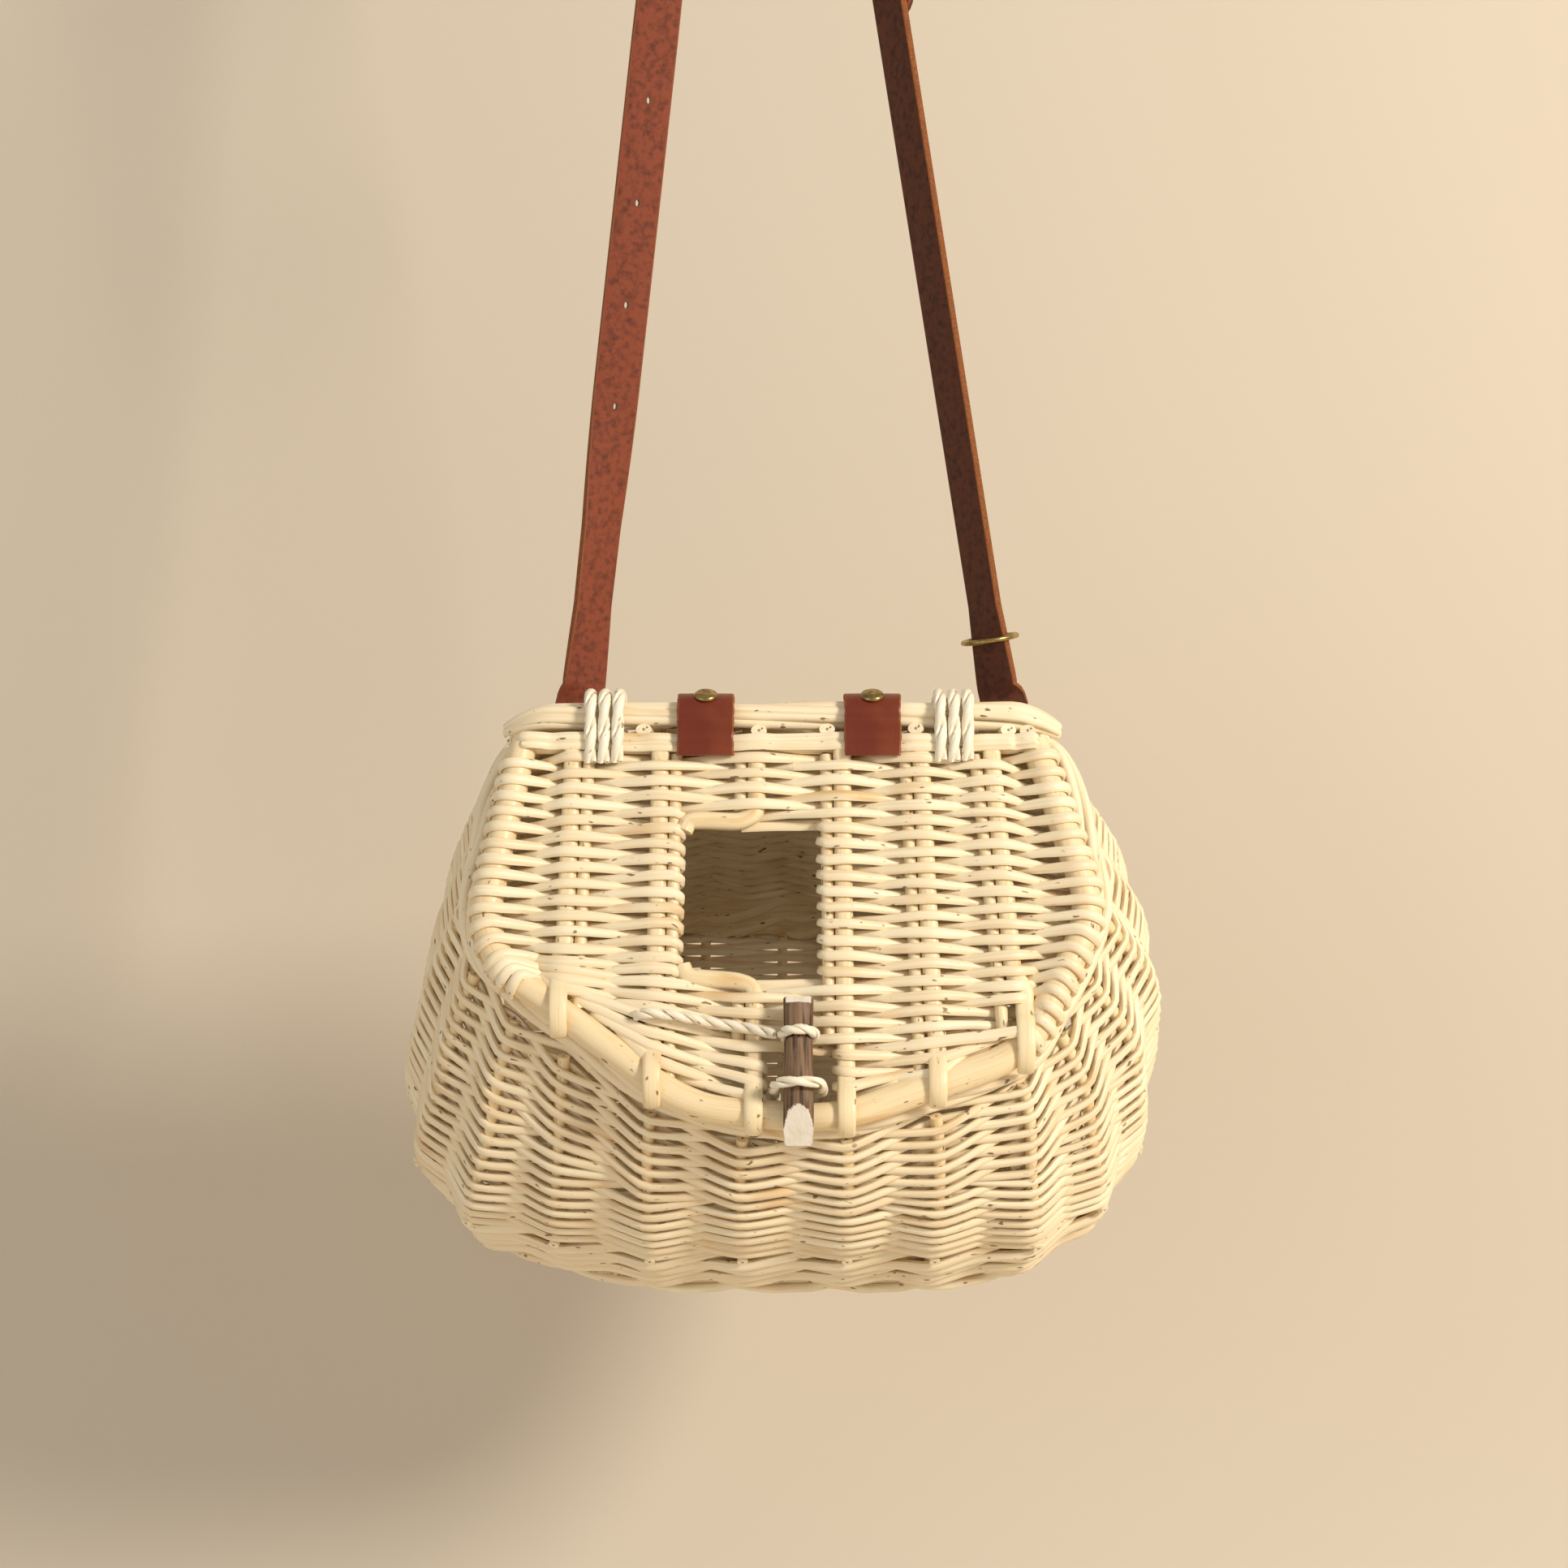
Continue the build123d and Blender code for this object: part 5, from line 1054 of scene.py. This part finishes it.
STRAP_HALF = (11.0, STRAP_T / 2)
BRIDLE = leather("oiled strap leather", "#54260F", "#6E3A1A", "#843E24", "#562614", "#B06C40", *STRAP_HALF, 0.42)
# The short strap is the same leather as the long one. This copy's darker colours are painted shade, for its face turned
# away from the lamp.
SHADED_STRAP_LEATHER = leather("strap leather darkened as painted shade", "#4A2010", "#6A3418", "#5C2E18", "#34180C", "#B06A38", *STRAP_HALF, 0.45)
TAB = leather("glazed hinge leather", "#6C260E", "#86401C", "#9A5A34", "#5A2A14", "#B4703C", 13.25, 1.6, 0.32)


def strap_section(half_w, half_t, edge=0.7, crease=3.0):
    """A rounded rectangle with a creased line near each edge of its grain side, as parts of its half sizes."""
    a = np.linspace(0, np.pi / 2, 4)
    arc = np.stack([np.cos(a), np.sin(a)], -1) * edge
    w, t = half_w - edge, half_t - edge
    at = half_w - max(crease, 1.6)
    deep = 0.3 if crease else -0.03
    groove = [(at + 0.5, half_t), (at, half_t - deep), (at - 0.5, half_t)]
    top = np.array(groove + [(half_w * 0.3, half_t + 0.1), (-half_w * 0.3, half_t + 0.1)] + [(-x, y) for x, y in groove[::-1]])
    low = np.array([(-half_w * 0.3, -half_t - 0.1), (half_w * 0.3, -half_t - 0.1)])
    turned = [arc + (w, t), top, arc[:, ::-1] * (-1, 1) + (-w, t), -arc + (-w, -t), low, arc[:, ::-1] * (1, -1) + (w, -t)]
    return np.vstack(turned) / (half_w, half_t)


# %% [markdown]
# The lid's two leather tabs go round the roll beside the willow loops. A domed brass rivet behind the top holds each.

# %% Leather tabs
tab_section = strap_section(13.25, 1.6, 0.8, 0.0)
for side, x in (("left", -35.9), ("right", 42.3)):
    loop = round_roll(20.5, 7.2, ROLL_R + 2.1)
    loop[0], loop[1] = (-21.8, 7.0), (-17.0, 7.9)
    path = through(np.column_stack([np.full(len(loop), x), loop]), 1.5)
    n = len(path)
    ragged = 1 + 0.012 * np.sin(np.arange(n) * 1.7 + x) + 0.014 * np.sin(np.arange(n) * 0.43 + x)
    piece(f"leather_tab_{side}", [rod(path, (-1, 0, 0), 13.25 * ragged, 1.6, section=tab_section)], hung_lid, TAB, "lid", [f"leather_hinge_{side}"])

# %% [markdown]
# The straps follow the plain solids: each leg turns round its loop, twists a little on its way up, and the long one
# goes over the bight and down through the buckle. A strap is a section carried along its line with a direction across
# it that turns by the twist: across = level cos(twist) + Y sin(twist).

# %% Strap lines
STRAP_W = 22.0
BIGHT_R = 28.0
BIGHT_C = np.array([0, 0, -BIGHT_R])
BUCKLE_L = 27.0
TURN_BACK, FOLD_L, TAIL_L = 22.0, 38.0, 64.0
FIRST_HOLE, HOLE_PITCH, BUCKLE_HOLE = 156.0, 48.0, 12
BIGHT_MID = BIGHT_R + STRAP_T / 2


def leg(side):
    """A leg's bottom and top, and the angle at which it leaves the bight: its tangent from the bottom."""
    bottom = np.array([STRAP_X[side] + BASKET_X, 0, -STRAP_DROP])
    away = bottom - BIGHT_C
    angle = math.atan2(away[2], away[0]) + (-1 if side == 0 else 1) * math.acos(BIGHT_MID / math.hypot(away[0], away[2]))
    return bottom, BIGHT_C + BIGHT_MID * np.array([math.cos(angle), 0, math.sin(angle)]), angle


def along_leg(side, table, start, end):
    """Points up a leg with the direction across the strap at each: x, y, z and the direction."""
    bottom, top, _ = leg(side)
    rise = unit(top - bottom)
    s = np.arange(start, end, 4.0)
    s = np.append(s, end)
    twist = np.radians(np.interp(s, [t[0] for t in table], [t[1] for t in table])) * (1 if side == 0 else -1)
    level = np.array([rise[2], 0, -rise[0]])
    across = level * np.cos(twist)[:, None] + np.array([0, 1, 0]) * np.sin(twist)[:, None]
    return np.hstack([bottom + rise * s[:, None], across])


leg_lengths = [float(np.linalg.norm(leg(k)[1] - leg(k)[0])) for k in (0, 1)]
bight_length = (leg(0)[2] % (2 * math.pi) - leg(1)[2]) * BIGHT_MID
tongue_at = leg_lengths[1] - (FIRST_HOLE + BUCKLE_HOLE * HOLE_PITCH - leg_lengths[0] - bight_length)
heel_at = tongue_at - BUCKLE_L / 2
LEFT_TWIST = ((10, 0), (20, 28), (62, 45), (100, 42), (165, 15), (330, 15), (430, 45), (500, 90))
RIGHT_TWIST = ((10, 0), (20, 36), (62, 55), (leg_lengths[1] - 60, 55), (leg_lengths[1], 90))
print("legs", np.round(leg_lengths, 1), "bight", round(bight_length, 1), "heel bar at", round(heel_at, 1))

at_heel = along_leg(1, RIGHT_TWIST, heel_at, heel_at + 0.1)[0]
buckle_up = unit(leg(1)[1] - leg(1)[0])
buckle_x = -at_heel[3:]
buckle_out = np.cross(buckle_x, buckle_up)


def at_buckle(points):
    """The buckle's frame to the part's: X across the strap, Y up it, Z out of its grain side, from the heel bar."""
    p = np.asarray(points, float)
    return at_heel[:3] + p[..., :1] * buckle_x + p[..., 1:2] * buckle_up + p[..., 2:] * buckle_out


def turned(side):
    """The turned end round its loop: down behind, round the bar, and up in front."""
    yz = [(3.5, 15.5), (3.5, 12), (4.6, 8), (6.5, 2.5), (5.3, -3.3), (1.75, -4.9), (-1.8, -3.3), (-3.0, 2.5), (-1.1, 8), (0, 14)]
    line = np.array([(0, y, z) for y, z in yz]) + leg(side)[0]
    return np.hstack([line, np.tile([1.0, 0, 0], (len(line), 1))])


def in_buckle(line):
    """A strap's line through the buckle, with its direction across."""
    line = at_buckle([(0, y, z) for y, z in line])
    return np.hstack([line, np.tile(-buckle_x, (len(line), 1))])


REST = STRAP_T + 1.5
OVER_HEEL = 5.55
angles = np.linspace(leg(0)[2] % (2 * math.pi), leg(1)[2], 14)[1:-1]
over = BIGHT_C + BIGHT_MID * np.stack([np.cos(angles), 0 * angles, np.sin(angles)], -1)
over = np.hstack([over, np.tile([0.0, 1, 0], (len(over), 1))])
down = along_leg(1, RIGHT_TWIST, heel_at + BUCKLE_L + 14, leg_lengths[1])[::-1]
down[:, 3:] *= -1
through_buckle = in_buckle([(BUCKLE_L + 6, 0), (BUCKLE_L, 0.1), (20, 1.2), (10, 4.2), (0, OVER_HEEL), (-7, 5.5), (-14, REST), (-26, REST), (-FOLD_L, REST)])
tail = in_buckle([(-44, 4.6), (BUCKLE_L / 2 - TAIL_L, STRAP_T + 0.4)])
through_buckle[:, 3:] *= -1
tail[:, 3:] *= -1
long_line = np.vstack([turned(0), along_leg(0, LEFT_TWIST, TURN_BACK, leg_lengths[0]), over, down, through_buckle, tail])
long_line = through(long_line, 2.5)
strap_ring = strap_section(*STRAP_HALF)
from_tip = np.linalg.norm(np.diff(long_line[:, :3], axis=0), axis=1)[::-1].cumsum()[::-1]
from_tip = np.append(from_tip, 0)
tip_w = 11.0 * np.sqrt(np.clip(1 - (1 - np.clip(from_tip / 9.0, 0, 1)) ** 2, 0.12, 1))
long_strap = piece("long_strap", [rod(long_line[:, :3], long_line[:, 3:], tip_w, STRAP_T / 2, section=strap_ring)], as_is, BRIDLE, "strap", ["strap_long"])

fold = [(-12, 0.0), (-6, 0.35), (-1.5, 1.75), (1.8, 1.4), (3.7, -1.75), (1.8, -4.9), (-1.5, -5.3), (-6, -4.0), (-12, -3.5), (-25, -3.5), (-FOLD_L, -3.5)]
short_line = np.vstack([turned(1), along_leg(1, RIGHT_TWIST, TURN_BACK, heel_at - 16), in_buckle(fold)])
short_line = through(short_line, 2.5)
# The short strap wears the darker copy of the leather, whose colours are painted shade.
short_strap = piece("short_strap", [rod(short_line[:, :3], short_line[:, 3:], 11.0, STRAP_T / 2, section=strap_ring)], as_is, SHADED_STRAP_LEATHER, "strap", ["strap_short"])

# %% [markdown]
# Holes are punched through a strap, so they're cut with a Boolean and its result is kept.

# %% Punched holes


def cut_from(obj, cutters):
    """Takes rods out of a piece and applies the result."""
    first = np.cumsum([0] + [len(c["points"]) for c in cutters])
    faces = [face for c, o in zip(cutters, first) for face in (c["quads"] + o).tolist()]
    faces += [(end + o).tolist() for c, o in zip(cutters, first) for end in c["ends"]]
    mesh = bpy.data.meshes.new("cutter")
    mesh.from_pydata((np.concatenate([c["points"] for c in cutters]) / 1000).tolist(), [], faces)
    cutter = bpy.data.objects.new("cutter", mesh)
    bpy.context.collection.objects.link(cutter)
    cut = obj.modifiers.new("holes", "BOOLEAN")
    cut.operation, cut.solver, cut.object = "DIFFERENCE", "EXACT", cutter
    bpy.context.view_layer.update()
    done = bpy.data.meshes.new_from_object(obj.evaluated_get(bpy.context.evaluated_depsgraph_get()))
    obj.modifiers.clear()
    obj.data = done
    bpy.data.objects.remove(cutter)
    print(obj.name, "cut, now", len(done.polygons), "faces")


gaps = np.linalg.norm(np.diff(long_line[:, :3], axis=0), axis=1)
run = np.concatenate([[0], gaps.cumsum()])
turn_end = float(run[np.argmax((long_line[:, 2] > -STRAP_DROP + TURN_BACK) & (run > 30))])
punches = []
for k in range(BUCKLE_HOLE + 1):
    at = turn_end - TURN_BACK + FIRST_HOLE + k * HOLE_PITCH
    here = np.array([np.interp(at, run, long_line[:, c]) for c in range(6)])
    ahead = np.array([np.interp(at + 1, run, long_line[:, c]) for c in range(3)])
    across = unit(here[3:])
    out = np.cross(unit(ahead - here[:3]), across)
    punches.append(rod(even(np.array([here[:3] - out * 4, here[:3] + out * 4]), 4), across, 1.0, 1.7, section=circle(14)))
cut_from(long_strap, punches)

# %% [markdown]
# The buckle, its tongue, the keeper ring and the rivets are cast or drawn brass, gone dull and a little green in the
# hollows, with brighter metal where they rub.

# %% Brass


def aged_brass(name):
    """Patina in patches of 2 to 6 mm, over brighter metal, with fine scratches."""
    material, tree, out = blank(name)
    place = add(tree, "ShaderNodeTexCoord").outputs["Object"]
    patches = add(tree, "ShaderNodeTexNoise", {"Vector": place, "Scale": 260.0, "Detail": 4.0}).outputs["Fac"]
    fine = add(tree, "ShaderNodeTexNoise", {"Vector": place, "Scale": 1800.0, "Detail": 2.0}).outputs["Fac"]
    old = add(tree, "ShaderNodeMapRange", {0: patches, 1: 0.40, 2: 0.66}).outputs[0]
    metal = add(tree, "ShaderNodeMix", {0: old, 6: colour("#B89C62"), 7: colour("#7C7048")}, data_type="RGBA").outputs[2]
    rough = add(tree, "ShaderNodeMapRange", {0: old, 3: 0.24, 4: 0.46}).outputs[0]
    bump = add(tree, "ShaderNodeBump", {"Height": fine, "Strength": 0.12, "Distance": 0.0002}).outputs[0]
    skin = {"Base Color": metal, "Roughness": rough, "Metallic": 1.0, "Normal": bump}
    shader = add(tree, "ShaderNodeBsdfPrincipled", skin).outputs[0]
    tree.links.new(shader, out.inputs[0])
    return material


BRASS = aged_brass("aged brass")


def dome(centre, out, profile):
    """A turned shape: its profile (radius, height) goes round an axis, point = centre + r(cos a U + sin a V) + h out."""
    out = unit(np.asarray(out, float))
    u = unit(np.cross(out, (1, 0.01, 0)))
    height = np.asarray(profile)[:, 1:2]
    line = np.asarray(centre, float) + out * height
    return rod(line, u, [r for r, _ in profile], [r for r, _ in profile], section=circle(28))


def domed(radius, height):
    """A shallow dome with a thin rim."""
    a = np.linspace(0, np.pi / 2 * 0.97, 9)
    cap = [(radius * math.cos(x) * 0.97, 0.35 + (height - 0.35) * math.sin(x)) for x in a]
    return [(radius * 0.9, -0.2), (radius, 0.0), (radius, 0.25), *cap]


tab_rivets = []
for x in (-35.9, 42.3):
    a = math.radians(45)
    out = np.array([0, math.cos(a), math.sin(a)])
    tab_rivets.append(dome(np.array([x, 0, 0]) + out * (ROLL_R + 3.6), out, domed(5.75, 2.5)))
piece("tab_rivets", tab_rivets, hung_lid, BRASS, "lid", ["hinge_rivets"], sharp=40)

small = domed(4.0, 1.2)
rivets = []
for side in (0, 1):
    at = leg(side)[0] + (0, 0, 10.5)
    rivets += [dome(at + (0, -1.75, 0), (0, -1, 0), small), dome(at + (0, 5.25, 0), (0, 1, 0), small)]
for y in (-17.0, -31.0):
    rivets += [dome(at_buckle([(0, y, 1.75)])[0], buckle_out, small), dome(at_buckle([(0, y, -5.25)])[0], -buckle_out, small)]
piece("small_rivets", rivets, as_is, BRASS, "strap", ["strap_rivets"], sharp=40)

wire = [(0, 0), (11, 0), (14.2, 1.6), (14.25, 5), (14.25, 22), (14.0, 25.6), (11, 27.2), (0, 27.3)]
wire += [(-x, y) for x, y in wire[-2:0:-1]]
lean = math.atan2(3.7 + 1.75, BUCKLE_L)
frame_line = np.array([(x, y * math.cos(lean), -1.75 + y * math.sin(lean)) for x, y in wire])
frame_line = through(at_buckle(frame_line), 1.2, True)
piece("buckle_ring", [rod(frame_line, buckle_out, 1.75, 1.75, section=circle(14), closed=True)], as_is, BRASS, "strap", ["buckle_frame"])

tongue = [(0, 2.2, -4.0), (0, -0.6, -4.9), (0, -2.9, -3.2), (0, -3.0, -0.6), (0, -1.0, 1.3), (0, 3, 2.0)]
tongue += [(0, 12, 4.4), (0, 22, 6.6), (0, BUCKLE_L + 2.2, 7.3)]
tongue = through(at_buckle(np.array(tongue)), 1.0)
thick = np.interp(np.linspace(0, 1, len(tongue)), [0, 0.8, 1], [1.3, 1.25, 0.8])
piece("tongue", [rod(tongue, buckle_x, thick, thick, section=circle(12))], as_is, BRASS, "strap", ["buckle_tongue"])

ring_at = along_leg(1, ((0, 0), (22, 0)), 46.0, 46.1)[0]
a = np.linspace(0, 2 * np.pi, 64, endpoint=False)[:, None]
ring_line = ring_at[:3] + 12.8 * (np.cos(a) * unit(ring_at[3:]) + np.sin(a) * np.array([0, 1.0, 0]))
piece("strap_ring", [rod(ring_line, (0, 0, 1), 1.3, 1.3, section=circle(12), closed=True)], as_is, BRASS, "ring", ["keeper_ring"])

# %% [markdown]
# The room is a plain pale wall close behind the creel, which curves into a floor and shows nothing from behind, so that
# the creel's back can be looked at. A broad lamp stands to the right and a little above, as in the photograph, and a
# dim one fills the left. The world gives the rest.

# %% Room and light


def painted(name, code):
    """Matt paint on the room's inner face; its outer face is left clear."""
    material, tree, out = blank(name)
    paint = add(tree, "ShaderNodeBsdfPrincipled", {"Base Color": colour(code), "Roughness": 0.9}).outputs[0]
    behind = add(tree, "ShaderNodeNewGeometry").outputs["Backfacing"]
    clear = add(tree, "ShaderNodeBsdfTransparent").outputs[0]
    shader = add(tree, "ShaderNodeMixShader", {0: behind, 1: paint, 2: clear}).outputs[0]
    tree.links.new(shader, out.inputs[0])
    return material


PLASTER = painted("painted plaster", "#D6CAB8")
profile = [(-3200, -1300), (-1500, -1300), (-300, -1300), (120, -1240), (290, -1080), (320, -700), (320, 0), (320, 900)]
profile = through(np.array(profile, float), 40) / 1000
room = np.stack([np.column_stack([np.full(len(profile), x), profile]) for x in (-3.2, 3.2)], 1)
mesh = bpy.data.meshes.new("room")
i = np.arange(len(profile) - 1) * 2
mesh.from_pydata(room.reshape(-1, 3).tolist(), [], np.stack([i, i + 1, i + 3, i + 2], -1).tolist())
mesh.polygons.foreach_set("use_smooth", np.ones(len(mesh.polygons), bool))
mesh.materials.append(PLASTER)
room = bpy.data.objects.new("room", mesh)
bpy.context.collection.objects.link(room)


def lamp(name, place, aim, size, power, code):
    """A round area lamp, aimed at a point."""
    light = bpy.data.lights.new(name, "AREA")
    light.shape, light.size, light.energy, light.color = "DISK", size, power, colour(code)[:3]
    obj = bpy.data.objects.new(name, light)
    obj.location = place
    obj.rotation_euler = (Vector(aim) - Vector(place)).to_track_quat("-Z", "Y").to_euler()
    bpy.context.collection.objects.link(obj)


middle = (0.0, 0.0, -0.60)
lamp("key", (1.7, -1.55, 0.45), middle, 0.6, 54, "#FFF6E8")
lamp("fill", (-1.6, -1.7, -0.4), middle, 1.8, 8, "#FFFFFF")
world = bpy.data.worlds.new("studio")
world.use_nodes = True
world.node_tree.nodes["Background"].inputs["Color"].default_value = colour("#FFFCF6")
world.node_tree.nodes["Background"].inputs["Strength"].default_value = 0.42
bpy.context.scene.world = world
bpy.context.scene.view_settings.view_transform = "Standard"
